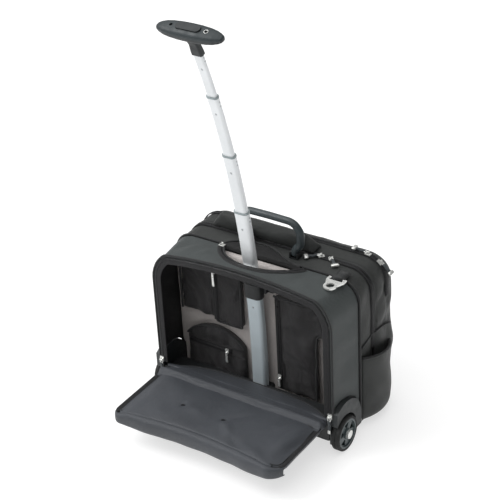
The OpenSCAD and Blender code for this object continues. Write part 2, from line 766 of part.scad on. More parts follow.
rear_gusset();
divider_panel();
main_compartment();
laptop_sleeve();
front_compartment();
front_pocket();
bottle_pockets();
piping();
zip_tapes();
base_tray();
kick_plate();
wheel_housings();
axles();
skid_feet();
pole_bracket();
outer_tube();
collar();
collar_bracket();
handle_yoke();
handle_anchors();
strap_loops();
mesh_pocket_upper();
mesh_pocket_lower();
mesh_pocket_side();
zip_sliders();
wheel_rim_left();
wheel_rim_right();
tyre_left();
tyre_right();
hub_cap_left();
hub_cap_right();
wheel_bush_left();
wheel_bush_right();
stage_tube_1();
stage_tube_2();
stage_tube_3();
stage_tube_4();
end_ring_1();
end_ring_2();
end_ring_3();
grip_lower();
grip_upper();
grip_screws();
release_button();
button_spring();
door_panel();
door_lining();
door_flap();
carry_handle();
d_ring_left();
d_ring_right();
upper_pocket_slider();
lower_pocket_slider();
side_pocket_slider();
main_pull_left();
main_pull_right();
front_pull_left();
front_pull_right();
door_pull_left();
door_pull_right();
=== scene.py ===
"""Rolling laptop case with its rear door open and its pole pulled out."""
import math

import bpy
import bmesh
from mathutils import Matrix, Vector, noise
from mathutils.bvhtree import BVHTree


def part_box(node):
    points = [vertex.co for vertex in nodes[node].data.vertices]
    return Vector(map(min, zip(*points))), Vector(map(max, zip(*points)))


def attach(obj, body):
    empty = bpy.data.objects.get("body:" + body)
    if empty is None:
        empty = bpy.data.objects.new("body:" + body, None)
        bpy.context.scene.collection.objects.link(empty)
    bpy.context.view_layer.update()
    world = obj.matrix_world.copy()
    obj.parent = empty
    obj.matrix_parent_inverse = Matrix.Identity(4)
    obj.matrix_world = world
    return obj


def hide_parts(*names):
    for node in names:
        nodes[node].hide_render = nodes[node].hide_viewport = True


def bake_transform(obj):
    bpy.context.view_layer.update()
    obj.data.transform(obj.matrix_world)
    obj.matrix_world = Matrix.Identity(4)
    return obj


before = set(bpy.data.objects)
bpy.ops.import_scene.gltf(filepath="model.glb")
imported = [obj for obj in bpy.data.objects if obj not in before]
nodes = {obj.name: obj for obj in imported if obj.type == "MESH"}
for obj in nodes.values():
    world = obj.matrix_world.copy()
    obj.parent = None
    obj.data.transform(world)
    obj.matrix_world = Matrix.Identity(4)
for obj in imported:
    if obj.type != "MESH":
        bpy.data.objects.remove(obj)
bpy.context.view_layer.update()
scene = bpy.context.scene

# --------------------------------------------------------------------------- measures
# R() turns millimetres measured from the plane of the rear face into the row frame.
REAR_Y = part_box("rear_gusset")[0][1]
CASE_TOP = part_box("main_compartment")[1][2] * 1000
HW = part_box("main_compartment")[1][0] * 1000
FRONT_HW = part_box("front_compartment")[1][0] * 1000
SHELL_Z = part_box("main_compartment")[0][2] * 1000
REAR_HW = HW - 7
REAR_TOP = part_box("rear_gusset")[1][2] * 1000
SEAM_Y = 94
MAIN_Y = 150
ARC_R = 2015
ARC_Y = 62 - ARC_R
ARC_Z = 102
GRIP_S = 802  # the grip's station along the pole's arc
FOLD_GAIN = 1.7  # depth of the shell's creases, as a multiple of their listed heights
DOOR_FOLD_GAIN = 1.6
SIDE_RING_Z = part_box("d_ring_left")[1][2] * 1000 - 2


def R(x, y, z):
    return Vector((x / 1000, y / 1000 + REAR_Y, z / 1000))


def depth(co):
    """How far a point lies in front of the rear face, in mm."""
    return (co.y - REAR_Y) * 1000


def angles(step):
    """One full turn in steps of step degrees, in radians."""
    return [math.radians(v) for v in range(0, 360, step)]


# --------------------------------------------------------------------------- camera
def place_camera():
    azimuth, elevation, roll = (math.radians(v) for v in (34.805, 30.637, -3.035))
    back = Vector((
        math.sin(azimuth) * math.cos(elevation),
        -math.cos(azimuth) * math.cos(elevation),
        math.sin(elevation),
    ))
    right = Vector((math.cos(azimuth), math.sin(azimuth), 0))
    up = back.cross(right)
    cam_x = right * math.cos(roll) + up * math.sin(roll)
    cam_y = up * math.cos(roll) - right * math.sin(roll)
    data = bpy.data.cameras.new("camera")
    data.sensor_width = 36
    data.lens = 109.83
    data.clip_end = 20
    cam = bpy.data.objects.new("camera", data)
    scene.collection.objects.link(cam)
    turn = Matrix((cam_x, cam_y, back)).transposed().to_4x4()
    looked_at, distance = R(-38.99, 103.28, 341.62), 3.0049
    turn.translation = looked_at + back * distance
    cam.matrix_world = turn
    scene.camera = cam


place_camera()


# --------------------------------------------------------------------------- materials
class Graph:
    """Short-hand for building one node material."""

    def __init__(self, name, rough, metallic=0.0, **sockets):
        self.mat = bpy.data.materials.new(name)
        self.mat.use_nodes = True
        self.tree = self.mat.node_tree
        self.bsdf = self.tree.nodes["Principled BSDF"]
        self.bsdf.inputs["Roughness"].default_value = rough
        self.bsdf.inputs["Metallic"].default_value = metallic
        for key, value in sockets.items():
            self.bsdf.inputs[key.replace("_", " ")].default_value = value
        self.coord = self.node("ShaderNodeTexCoord").outputs["Object"]

    def node(self, kind, **props):
        made = self.tree.nodes.new(kind)
        for key, value in props.items():
            setattr(made, key, value)
        return made

    def link(self, a, b):
        self.tree.links.new(a, b)

    def noise(self, scale, detail=3.0, stretch=None, rough=0.5):
        tex = self.node("ShaderNodeTexNoise")
        tex.inputs["Scale"].default_value = scale
        tex.inputs["Detail"].default_value = detail
        tex.inputs["Roughness"].default_value = rough
        if stretch:
            mapping = self.node("ShaderNodeMapping")
            mapping.inputs["Scale"].default_value = stretch
            self.link(self.coord, mapping.inputs["Vector"])
            self.link(mapping.outputs[0], tex.inputs["Vector"])
        else:
            self.link(self.coord, tex.inputs["Vector"])
        return tex.outputs["Fac"]

    def math(self, op, a, b=None):
        made = self.node("ShaderNodeMath", operation=op)
        for socket, value in zip(made.inputs, (a, b)):
            if value is None:
                continue
            if isinstance(value, (int, float)):
                socket.default_value = value
            else:
                self.link(value, socket)
        return made.outputs[0]

    def spread(self, value, low, high, from_low=0.3, from_high=0.7):
        made = self.node("ShaderNodeMapRange")
        self.link(value, made.inputs["Value"])
        for key, number in zip(("From Min", "From Max", "To Min", "To Max"),
            (from_low, from_high, low, high)):
            made.inputs[key].default_value = number
        return made.outputs[0]

    def colours(self, value, stops):
        ramp = self.node("ShaderNodeValToRGB")
        while len(ramp.color_ramp.elements) < len(stops):
            ramp.color_ramp.elements.new(0.5)
        for element, (place, colour) in zip(ramp.color_ramp.elements, stops):
            element.position = place
            element.color = (*colour, 1)
        self.link(value, ramp.inputs["Fac"])
        return ramp.outputs["Color"]

    def bump(self, *layers):
        """layers are (height, strength, distance in metres), laid one over the other."""
        normal = None
        for height, strength, distance in layers:
            made = self.node("ShaderNodeBump")
            made.inputs["Strength"].default_value = strength
            made.inputs["Distance"].default_value = distance
            self.link(height, made.inputs["Height"])
            if normal is not None:
                self.link(normal, made.inputs["Normal"])
            normal = made.outputs["Normal"]
        self.link(normal, self.bsdf.inputs["Normal"])

    def weave(self, pitch):
        """A grid of threads that reads as plain weave on a surface facing any axis."""
        split = self.node("ShaderNodeSeparateXYZ")
        self.link(self.coord, split.inputs[0])
        waves = [
            self.math("SINE", self.math("MULTIPLY", split.outputs[k], 2 * math.pi / pitch))
            for k in range(3)
        ]
        pairs = [self.math("MULTIPLY", waves[a], waves[b]) for a, b in ((0, 1), (1, 2), (2, 0))]
        return self.math("ADD", self.math("ADD", pairs[0], pairs[1]), pairs[2])


def lin(value):
    """sRGB 0-255 to linear."""
    c = value / 255
    return c / 12.92 if c <= 0.04045 else ((c + 0.055) / 1.055) ** 2.4


def rgb(r, g, b, k=1.0):
    return tuple(lin(v) * k for v in (r, g, b))


def fabric(name, colour, pitch=0.0013, rough=0.7, sheen=0.12, weave_depth=0.00022, mottle=0.16):
    g = Graph(name, rough, Sheen_Weight=sheen, Sheen_Roughness=0.45, Specular_IOR_Level=0.35)
    threads = g.weave(pitch)
    patches = g.noise(9, 4)
    slubs = g.noise(420, 2, stretch=(1, 1, 0.25))
    tone = g.math("ADD", g.math("MULTIPLY", patches, 0.7), g.math("MULTIPLY", slubs, 0.3))
    dark = tuple(c * (1 - mottle) for c in colour)
    pale = tuple(c * (1 + mottle) for c in colour)
    g.link(g.colours(tone, [(0.3, dark), (0.72, pale)]), g.bsdf.inputs["Base Color"])
    g.link(g.spread(patches, rough - 0.07, rough + 0.07), g.bsdf.inputs["Roughness"])
    g.bump((g.noise(60, 3), 0.25, 0.0006), (slubs, 0.3, 0.0001), (threads, 0.55, weave_depth))
    return g.mat


def mesh_cloth(name, thread, gap, pitch=0.0024):
    g = Graph(name, 0.36, Sheen_Weight=0.05, Specular_IOR_Level=0.55)
    holes = g.weave(pitch)
    # the gaps between the threads are painted near-black: painted shade for the inside of the pouch seen
    # through the holes
    g.link(g.colours(g.spread(holes, 0, 1, -0.6, 0.9), [(0.25, thread), (0.62, gap)]),
        g.bsdf.inputs["Base Color"])
    g.bump((g.noise(45, 3), 0.4, 0.0012), (holes, 0.8, -0.0005))
    return g.mat


def plastic(name, colour, rough=0.45, grain=900, grain_depth=0.00008):
    g = Graph(name, rough, Specular_IOR_Level=0.5)
    patches = g.noise(24, 5)
    dark = tuple(c * 0.88 for c in colour)
    pale = tuple(min(1, c * 1.15) for c in colour)
    g.link(g.colours(patches, [(0.3, dark), (0.7, pale)]), g.bsdf.inputs["Base Color"])
    g.link(g.spread(g.noise(90, 4), rough - 0.08, rough + 0.1), g.bsdf.inputs["Roughness"])
    g.bump((g.noise(grain, 2), 0.35, grain_depth))
    return g.mat


def metal(name, colour, rough=0.3, stretch=(900, 900, 14), depth=0.00003, metallic=1.0):
    g = Graph(name, rough, metallic)
    lines = g.noise(1, 3, stretch=stretch)
    patches = g.noise(18, 4)
    dark = tuple(c * 0.9 for c in colour)
    g.link(g.colours(patches, [(0.3, dark), (0.7, colour)]), g.bsdf.inputs["Base Color"])
    g.link(g.spread(lines, rough - 0.06, rough + 0.1), g.bsdf.inputs["Roughness"])
    g.bump((lines, 0.4, depth))
    return g.mat


NYLON = fabric("nylon", rgb(64, 69, 69), rough=0.55, sheen=0.06)
# a darker copy of the nylon, its colour matched to the compartments' sides in shade: painted shade
NYLON_PAINTED_SHADE = fabric("nylon_painted_shade", rgb(46, 48, 47), rough=0.55, sheen=0.05)
INNER = fabric("inner_lining", rgb(20, 20, 21), rough=0.6, sheen=0.05)
LINING = fabric("lining", rgb(64, 67, 72), pitch=0.001, rough=0.4, sheen=0.05, weave_depth=0.00012)
TAUPE = fabric("taupe_felt", rgb(186, 180, 177), pitch=0.0016, rough=0.85, sheen=0.25)
TAPE = fabric("tape", rgb(25, 25, 27), pitch=0.0011, rough=0.6, sheen=0.06, weave_depth=0.0003)
WEBBING = fabric("webbing", rgb(32, 34, 35), pitch=0.0021, rough=0.62, weave_depth=0.0005)
PULL_TAPE = fabric("pull_tape", rgb(62, 67, 70), pitch=0.0016, rough=0.6, weave_depth=0.0004)
SEAM_CORD = fabric("seam_cord", rgb(34, 35, 36), pitch=0.0012, rough=0.6)
THREAD = fabric("thread", rgb(24, 24, 26), pitch=0.0004, rough=0.6)
MESH = mesh_cloth("mesh_cloth", rgb(38, 36, 38), rgb(5, 5, 6))
BLACK = plastic("black_plastic", rgb(31, 33, 34), 0.5)
HOUSING = plastic("housing_plastic", rgb(38, 42, 43), 0.5)
GRIP = plastic("grip_plastic", rgb(30, 35, 37), 0.5, grain=1400)
GRIP_TOP = plastic("grip_top", rgb(40, 48, 51), 0.5, grain=1400)
HANDLE = plastic("handle_plastic", rgb(50, 58, 61), 0.42, grain=1100, grain_depth=0.00012)
TEETH = plastic("zip_teeth", rgb(26, 26, 28), 0.35)
RIM = plastic("rim_plastic", rgb(72, 82, 84), 0.4)
RUBBER = plastic("tyre_rubber", rgb(22, 23, 23), 0.7, grain=500, grain_depth=0.0002)
BUSH = plastic("bush_plastic", rgb(205, 200, 185), 0.5)
RING = plastic("ring_plastic", rgb(142, 152, 154), 0.4)
TUBE = metal("tube_metal", rgb(232, 235, 237), 0.42, metallic=0.35)
TUBE_LOW = metal("tube_metal_low", rgb(196, 207, 212), 0.4, metallic=0.35)
ZINC = metal("zinc", rgb(238, 239, 236), 0.3, stretch=(120, 120, 120), depth=0.000006, metallic=0.7)
STEEL = metal("steel", rgb(176, 180, 182), 0.3)


def paint(material, *names):
    for name in names:
        data = nodes[name].data
        data.materials.clear()
        data.materials.append(material)


# --------------------------------------------------------------------------- mesh helpers
def made(name, verts, faces, material, body=None, smooth=True, extra=(), tags=None):
    data = bpy.data.meshes.new(name)
    data.from_pydata([tuple(v) for v in verts], [], faces)
    data.validate()
    for item in (material, *extra):
        data.materials.append(item)
    if tags:
        data.polygons.foreach_set("material_index", tags)
    data.polygons.foreach_set("use_smooth", [smooth] * len(data.polygons))
    obj = bpy.data.objects.new(name, data)
    scene.collection.objects.link(obj)
    if body:
        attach(obj, body)
    return obj


def freeze(obj):
    """Applies obj's modifiers to its mesh."""
    bpy.context.view_layer.update()
    graph = bpy.context.evaluated_depsgraph_get()
    data = bpy.data.meshes.new_from_object(obj.evaluated_get(graph))
    obj.modifiers.clear()
    obj.data = data
    return obj


def copy_of(node, name, material):
    """The CAD node's mesh as a new object, for remeshing."""
    obj = bpy.data.objects.new(name, nodes[node].data.copy())
    obj.data.materials.clear()
    obj.data.materials.append(material)
    scene.collection.objects.link(obj)
    return obj


def remesh(obj, voxel):
    mod = obj.modifiers.new("remesh", "REMESH")
    mod.mode = "VOXEL"
    mod.voxel_size = voxel
    mod.use_smooth_shade = True
    return freeze(obj)


def smooth(obj, times, factor=0.5):
    mod = obj.modifiers.new("smooth", "SMOOTH")
    mod.iterations = times
    mod.factor = factor
    return freeze(obj)


def subdivide(obj):
    mod = obj.modifiers.new("subdivision", "SUBSURF")
    mod.levels = mod.render_levels = 1
    freeze(obj)
    obj.data.polygons.foreach_set("use_smooth", [True] * len(obj.data.polygons))
    return obj


def bevel(obj, width, segments=2):
    mod = obj.modifiers.new("bevel", "BEVEL")
    mod.width = width
    mod.segments = segments
    mod.limit_method = "ANGLE"
    return obj


def puff(obj, cap, held, pressure=4.0, frames=20):
    """Blows obj up as cloth. held(point) is 1 where it is sewn down; no point moves past cap."""
    rest = [v.co.copy() for v in obj.data.vertices]
    group = obj.vertex_groups.new(name="sewn")
    for i, co in enumerate(rest):
        weight = held(co)
        if weight > 0:
            group.add([i], weight, "REPLACE")
    mod = obj.modifiers.new("cloth", "CLOTH")
    cloth = mod.settings
    cloth.quality = 4
    cloth.mass = 0.3
    cloth.tension_stiffness = cloth.compression_stiffness = 12
    cloth.bending_stiffness = 0.4
    cloth.use_pressure = True
    cloth.uniform_pressure_force = pressure
    cloth.vertex_group_mass = "sewn"
    cloth.effector_weights.gravity = 0
    mod.collision_settings.use_collision = False
    mod.point_cache.frame_start = 1
    mod.point_cache.frame_end = frames
    for step in range(1, frames + 1):
        scene.frame_set(step)
    graph = bpy.context.evaluated_depsgraph_get()
    blown = [v.co.copy() for v in obj.evaluated_get(graph).data.vertices]
    obj.modifiers.clear()
    obj.vertex_groups.clear()
    scene.frame_set(1)
    for v, a, b in zip(obj.data.vertices, rest, blown):
        step = b - a
        if step.length > cap:
            step *= cap / step.length
        v.co = a + step
    return obj


def shape(obj, push):
    """push(co, normal) is how far each point moves along its normal, in metres."""
    normals = [v.normal.copy() for v in obj.data.vertices]
    for v, n in zip(obj.data.vertices, normals):
        v.co += n * push(v.co, n)
    obj.data.update()
    return obj


def rumple(p, scale, seed):
    return noise.noise(p * scale + Vector((seed, seed * 1.7, -seed)))


def fold(p, a, b, width, height):
    """A ridge from a to b, fading at both ends."""
    d = b - a
    t = max(0.0, min(1.0, (p - a).dot(d) / d.length_squared))
    off = (p - (a + d * t)).length / width
    return height * math.exp(-off * off) * math.sin(math.pi * min(1, max(0, 0.08 + 0.84 * t)))


def tree_of(obj):
    data = obj.data
    return BVHTree.FromPolygons([v.co for v in data.vertices], [tuple(p.vertices) for p in data.polygons])


def drape(tree, pts, way=Vector((0, 0, -1)), back=0.2):
    """Drops points onto a surface along way; a point that misses keeps its place."""
    out, normals = [], []
    for p in pts:
        place, normal, _, _ = tree.ray_cast(p - way * back, way)
        out.append(place if place is not None else p)
        normals.append(normal if normal is not None else -way)
    return out, normals


def corner_loop(hw, z0, z1, r_low, r_top, crown=None, count=220):
    """Closed outline (x, z), evenly spaced, anticlockwise from the middle of the bottom."""
    pts = []

    def arc(cx, cz, r, start):
        for k in range(25):
            a = math.radians(start + 90 * k / 24)
            pts.append((cx + r * math.cos(a), cz + r * math.sin(a)))

    pts.append((0, z0))
    arc(hw - r_low, z0 + r_low, r_low, -90)
    arc(hw - r_top, z1 - r_top, r_top, 0)
    for k in range(1, 24):
        pts.append(((hw - r_top) * (1 - k / 12), z1))
    arc(-hw + r_top, z1 - r_top, r_top, 90)
    arc(-hw + r_low, z0 + r_low, r_low, 180)
    if crown:
        pts = [(x, min(z, z1 - crown + math.sqrt(crown * crown - x * x))) for x, z in pts]
    return evenly(pts, count, True)


def evenly(pts, count, closed=False):
    pts = [Vector(p) for p in pts]
    if closed:
        pts.append(pts[0])
    lengths = [0.0]
    for a, b in zip(pts, pts[1:]):
        lengths.append(lengths[-1] + (b - a).length)
    total = lengths[-1]
    out = []
    k = 0
    steps = count if closed else count - 1
    for i in range(count):
        want = total * i / steps
        while k < len(lengths) - 2 and lengths[k + 1] < want:
            k += 1
        span = lengths[k + 1] - lengths[k]
        out.append(pts[k].lerp(pts[k + 1], 0 if span == 0 else min(1, (want - lengths[k]) / span)))
    return out


def rear_loop(i=0, count=220):
    return corner_loop(REAR_HW - i, SHELL_Z + i, REAR_TOP - i, 14, 78 - i, 1000, count)


def mid_loop(i=0, count=220):
    return corner_loop(HW - i, SHELL_Z + i, CASE_TOP - i, 14, 45 - i, None, count)


def front_loop(i=0, count=220):
    return corner_loop(FRONT_HW - i, SHELL_Z + i, CASE_TOP - i, 14, 45 - i, None, count)


def loft_rings(name, rings, material):
    count = len(rings[0])
    verts = [p for ring in rings for p in ring]
    faces = []
    for s in range(len(rings) - 1):
        for k in range(count):
            n = (k + 1) % count
            faces.append((s * count + k, s * count + n, (s + 1) * count + n, (s + 1) * count + k))
    faces.append(tuple(range(count - 1, -1, -1)))
    last = (len(rings) - 1) * count
    faces.append(tuple(range(last, last + count)))
    obj = made(name, verts, faces, material)
    bm = bmesh.new()
    bm.from_mesh(obj.data)
    bmesh.ops.recalc_face_normals(bm, faces=bm.faces)
    bmesh.ops.triangulate(bm, faces=[f for f in bm.faces if len(f.verts) > 4])
    bm.to_mesh(obj.data)
    bm.free()
    return obj


def loft(name, sections, material):
    """sections are (y, loop) with loops of one length; both ends are capped."""
    return loft_rings(name, [[R(x, y, z) for x, z in loop] for y, loop in sections], material)


def tube(name, pts, radius, material, body, closed=False, sides=8):
    """Round cord along pts, as one mesh."""
    rings = []
    count = len(pts)
    for i, p in enumerate(pts):
        ahead = pts[(i + 1) % count] if closed or i < count - 1 else p
        behind = pts[i - 1] if closed or i > 0 else p
        along = (ahead - behind).normalized()
        aside = along.cross(Vector((0.31, 0.52, 0.79))).normalized()
        other = along.cross(aside)
        rings.append([
            p + (aside * math.cos(2 * math.pi * k / sides) + other * math.sin(2 * math.pi * k / sides)) * radius
            for k in range(sides)
        ])
    verts = [v for ring in rings for v in ring]
    faces = []
    for i in range(count if closed else count - 1):
        j = (i + 1) % count
        for k in range(sides):
            n = (k + 1) % sides
            faces.append((i * sides + k, j * sides + k, j * sides + n, i * sides + n))
    if not closed:
        faces.append(tuple(range(sides)))
        faces.append(tuple(range((count - 1) * sides + sides - 1, (count - 1) * sides - 1, -1)))
    return made(name, verts, faces, material, body)


def ribbon_parts(pts, normals, width, thick, lift=0.0, closed=False):
    """A flat band along pts, lying on the surface whose normals are given."""
    verts, faces = [], []
    count = len(pts)
    half = width / 2
    profile = [(-half, 0), (-half, thick * 0.7), (-half * 0.82, thick), (half * 0.82, thick),
        (half, thick * 0.7), (half, 0)]
    for i, (p, n) in enumerate(zip(pts, normals)):
        ahead = pts[(i + 1) % count] if closed or i < count - 1 else p
        behind = pts[i - 1] if closed or i > 0 else p
        side = (ahead - behind).normalized().cross(n).normalized()
        verts += [p + side * a + n * (b + lift) for a, b in profile]
    m = len(profile)
    for i in range(count if closed else count - 1):
        j = (i + 1) % count
        for k in range(m):
            n = (k + 1) % m
            faces.append((i * m + k, i * m + n, j * m + n, j * m + k))
    if not closed:
        faces.append(tuple(range(m - 1, -1, -1)))
        faces.append(tuple(range((count - 1) * m, count * m)))
    return verts, faces


def ribbon(name, pts, normals, width, thick, material, body, lift=0.0, closed=False):
    verts, faces = ribbon_parts(pts, normals, width, thick, lift, closed)
    return made(name, verts, faces, material, body)


def blocks(name, places, size, material, body):
    """Many small rounded blocks in one mesh. places are (centre, along, normal)."""
    verts, faces = [], []
    length, width, height = size
    for centre, along, normal in places:
        side = along.cross(normal).normalized()
        base = len(verts)
        for a, b, c in (
            (-1, -1, 0), (1, -1, 0), (1, 1, 0), (-1, 1, 0),
            (-0.7, -0.6, 1), (0.7, -0.6, 1), (0.7, 0.6, 1), (-0.7, 0.6, 1),
        ):
            verts.append(centre + along * (a * length / 2) + side * (b * width / 2) + normal * (c * height))
        for f in ((3, 2, 1, 0), (4, 5, 6, 7), (0, 1, 5, 4), (1, 2, 6, 5), (2, 3, 7, 6), (3, 0, 4, 7)):
            faces.append(tuple(base + k for k in f))
    return made(name, verts, faces, material, body, smooth=False)


def along_path(pts, normals, pitch, closed=False):
    """Places every pitch along pts, as (point, direction, normal)."""
    total = sum((b - a).length for a, b in zip(pts, pts[1:]))
    count = max(2, int(total / pitch))
    out = []
    travelled, target = 0.0, pitch / 2
    for i in range(len(pts) - 1):
        span = (pts[i + 1] - pts[i]).length
        while span > 0 and travelled + span >= target and len(out) < count:
            t = (target - travelled) / span
            out.append((pts[i].lerp(pts[i + 1], t), (pts[i + 1] - pts[i]).normalized(),
                normals[i].lerp(normals[i + 1], t).normalized()))
            target += pitch
        travelled += span
    return out


def stitches(name, pts, normals, body, pitch=0.004, lift=0.0001):
    places = [(p + n * lift, d, n) for p, d, n in along_path(pts, normals, pitch)]
    return blocks(name, places, (pitch * 0.68, 0.0008, 0.0005), THREAD, body)


def zipper(name, pts, normals, width, body, lift=0.0, closed=False):
    """Zip: woven tape, two rows of stitching and the coil's teeth, as three pieces."""
    tape = ribbon(name + "_tape", pts, normals, width, 0.0009, TAPE, body, lift, closed)
    places = []
    for i, (p, d, n) in enumerate(along_path(pts, normals, 0.0019)):
        side = d.cross(n).normalized()
        places.append((p + side * (0.0006 if i % 2 else -0.0006) + n * (lift + 0.0008), d, n))
    blocks(name + "_teeth", places, (0.0014, 0.0036, 0.0011), TEETH, body)
    for s, sign in enumerate((-1, 1)):
        edge = []
        for i, (p, n) in enumerate(zip(pts, normals)):
            d = (pts[min(i + 1, len(pts) - 1)] - pts[max(i - 1, 0)]).normalized()
            edge.append(p + d.cross(n).normalized() * sign * width * 0.36 + n * (lift + 0.0008))
        stitches(f"{name}_stitch_{s}", edge, normals, body, 0.0036)
    return tape


def outward(loop, y):
    """Points of a loop at depth y, with the outline's outward normals."""
    count = len(loop)
    pts, normals = [], []
    for i, (x, z) in enumerate(loop):
        a, b = loop[i - 1], loop[(i + 1) % count]
        t = Vector((b[0] - a[0], 0, b[1] - a[1])).normalized()
        pts.append(R(x, y, z))
        normals.append(Vector((t.z, 0, -t.x)))
    return pts, normals


def upper_part(loop, y, z_min):
    """The run of the loop above z_min, right end first."""
    pts, normals = outward(loop, y)
    keep = [i for i, (x, z) in enumerate(loop) if z >= z_min]
    return [pts[i] for i in keep], [normals[i] for i in keep]


def steady(value, low, high):
    t = max(0.0, min(1.0, (value - low) / (high - low)))
    return t * t * (3 - 2 * t)


# --------------------------------------------------------------------------- rear compartment
def rear_shell():
    obj = remesh(copy_of("rear_gusset", "rear_shell", NYLON), 0.0032)
    smooth(obj, 3)
    folds = [
        (R(-150, 20, 352), R(-120, 70, 346), 0.012, 0.0016), (R(-118, 12, 356), R(-98, 60, 350), 0.010,
            0.0014),
        (R(-175, 30, 338), R(-150, 80, 346), 0.012, -0.0016), (R(120, 20, 352), R(150, 80, 345), 0.014,
            0.0015),
        (R(100, 30, 354), R(110, 86, 348), 0.010, -0.0013), (R(208, 20, 250), R(211, 80, 225), 0.014,
            0.0017),
        (R(207, 15, 200), R(211, 84, 170), 0.016, -0.0018), (R(207, 25, 160), R(211, 80, 120), 0.014,
            0.0016),
        (R(207, 10, 300), R(210, 80, 262), 0.014, -0.0015), (R(-208, 20, 250), R(-211, 80, 215), 0.016,
            0.0018),
        (R(-208, 20, 180), R(-211, 80, 150), 0.016, -0.0016),
    ]

    def push(co, n):
        y = depth(co)
        away = steady(y, 4, 22) * (1 - steady(y, 76, 92))
        d = rumple(co, 24, 3) * 0.0008 + rumple(co, 60, 5) * 0.0003
        for a, b, w, h in folds:
            d += FOLD_GAIN * fold(co, a, b, w, h)
        facing_in = n.dot(Vector((-co.x, 0, 0.19 - co.z))) > 0
        return -d * away if facing_in else d * away

    shape(obj, push)
    obj.data.materials.append(INNER)
    for face in obj.data.polygons:
        to_axis = Vector((-face.center.x, 0, 0.19 - face.center.z))
        if face.normal.dot(to_axis) > 0 and abs(face.normal.y) < 0.6:
            face.material_index = 1
    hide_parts("rear_gusset")
    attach(obj, "case")
    return obj


def rear_trim():
    """Piping round the opening and round the seam to the middle compartment, and the zip tape."""
    loop = rear_loop(-1.2, 320)
    pts, _ = outward(loop, 1.6)
    run = [p for p, (x, z) in zip(pts, loop) if z > 84]
    cord = tube("opening_piping", run, 0.0024, SEAM_CORD, "case")
    seam = tube("seam_piping", outward(mid_loop(-1.0, 320), SEAM_Y + 1.5)[0], 0.0026, SEAM_CORD, "case",
        closed=True)
    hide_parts("piping")
    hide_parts("piping")
    back = Vector((0, -1, 0))
    inner = rear_loop(10.5, 320)
    flat = [R(x, 0.8, z) for x, z in inner if z > 82]
    tape = ribbon("opening_zip_tape", flat, [back] * len(flat), 0.015, 0.0012, TAPE, "case")
    teeth = [(p, d, n) for p, d, n in along_path([R(x, -0.2, z) for x,
        z in rear_loop(6.5, 320) if z > 82], [back] * len(flat), 0.0022)]
    blocks("opening_zip_teeth", teeth, (0.0015, 0.0032, 0.0008), TEETH, "case")
    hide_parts("zip_tapes")
    return tape


def slot_rim(shell):
    """Zip tape and cord round the near side of the pole's slot, and the dark lip on its far side."""
    tree = tree_of(shell)
    half_width, rise = 92, 59
    radius = (half_width ** 2 + rise ** 2) / (2 * rise)

    def near(out):
        turns = [math.radians(-66 + 132 * k / 48) for k in range(49)]
        return [R((radius + out) * math.sin(t), 31 + radius - (radius + out) * math.cos(t), 350)
            for t in turns]

    pts, normals = drape(tree, near(5))
    ribbon("slot_tape", pts, normals, 0.0105, 0.0012, TAPE, "case", 0.0004)
    teeth, normals = drape(tree, near(3.4))
    places = [(p + n * 0.0015, d, n) for p, d, n in along_path(teeth, normals, 0.002)]
    blocks("slot_teeth", places, (0.0014, 0.0036, 0.0011), TEETH, "case")
    edge = [Vector((q.x, q.y, p.z - 0.0006)) for p, q in zip(drape(tree, near(3))[0], near(-0.6))]
    tube("slot_cord", edge, 0.0028, SEAM_CORD, "case")
    outer, normals = drape(tree, near(10.6))
    tube("slot_outer_cord", outer, 0.0014, SEAM_CORD, "case")

    # the far line rises as a quarter of an ellipse and falls as half a cosine wave
    peak, rise, left, right = -20, 38, 75, 106
    far = [(peak - left * math.cos(t), 90 + rise * math.sin(t)) for t in angles(15)[:7]]
    for k in range(1, 9):
        far.append((peak + right * k / 8, 90 + rise / 2 * (1 + math.cos(math.pi * k / 8))))
    line = evenly([R(x, y, 0) for x, y in far], 70)
    rings = []
    for k, p in enumerate(line):
        y1 = depth(p)
        x = p.x * 1000
        y0 = min(88.6, y1 - 1.2)
        rings.append([R(x, y, z) for y, z in (
            (y0, 336), (y0, 344.5), (y0 + 0.7, 347), (y0 * 0.7 + y1 * 0.3, 347.8), (y0 * 0.3 + y1 * 0.7,
                346.9),
            (y1, 344.6), (y1, 342.6), (y0 + 3, 342.4), (y0 + 2.6, 336),
        )])
    lip = loft_rings("slot_lip", rings, INNER)
    shape(subdivide(lip), lambda co, n: rumple(co, 40, 15) * 0.0006)
    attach(lip, "case")
    tube("slot_lip_cord", [Vector((p.x, p.y, 0.3462)) for p in line], 0.0021, SEAM_CORD, "case")


slot_rim(rear_shell())
rear_trim()


# --------------------------------------------------------------------------- middle and front compartments
def main_shell():
    sections = []
    for y, inset in ((94.6, 3), (97, 0.8), (100, 0.2), (112, 0), (124, 0), (136, 0), (144, 0.2),
        (147, 0.8), (149.4, 3)):
        sections.append((y, mid_loop(inset)))
    obj = remesh(loft("main_shell", sections, NYLON_PAINTED_SHADE), 0.0052)

    def held(co):
        y = depth(co)
        return 1.0 if y < 98.5 or y > 139 or co.z < 0.032 else 0.0

    puff(obj, 0.004, held, pressure=3)

    def push(co, n):
        y = depth(co)
        away = steady(y, 98, 108) * (1 - steady(y, 132, 144)) if abs(n.y) < 0.6 else 0
        slant = math.sin((co.z * 1000 - y * 1.3) / 11 + 3 * rumple(co, 9, 2)) * 0.0007 * steady(abs(co.x),
            0.18, 0.205)
        return away * (rumple(co, 26, 11) * 0.0011 + rumple(co, 70, 12) * 0.0003 + slant)

    shape(subdivide(obj), push)
    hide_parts("main_compartment")
    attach(obj, "case")
    pts, normals = upper_part(mid_loop(-0.7, 420), MAIN_Y - 5, 170)
    tape = zipper("main_zip", pts, normals, 0.012, "case", 0.0004)
    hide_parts("zip_tapes")
    tube("middle_piping", outward(mid_loop(-0.9, 320), MAIN_Y - 0.3)[0], 0.0022, SEAM_CORD, "case",
        closed=True)
    for k, y in enumerate((98.4, 137.5)):
        pts, normals = upper_part(mid_loop(-0.3, 420), y, 60)
        stitches(f"main_stitch_{k}", pts, normals, "case")


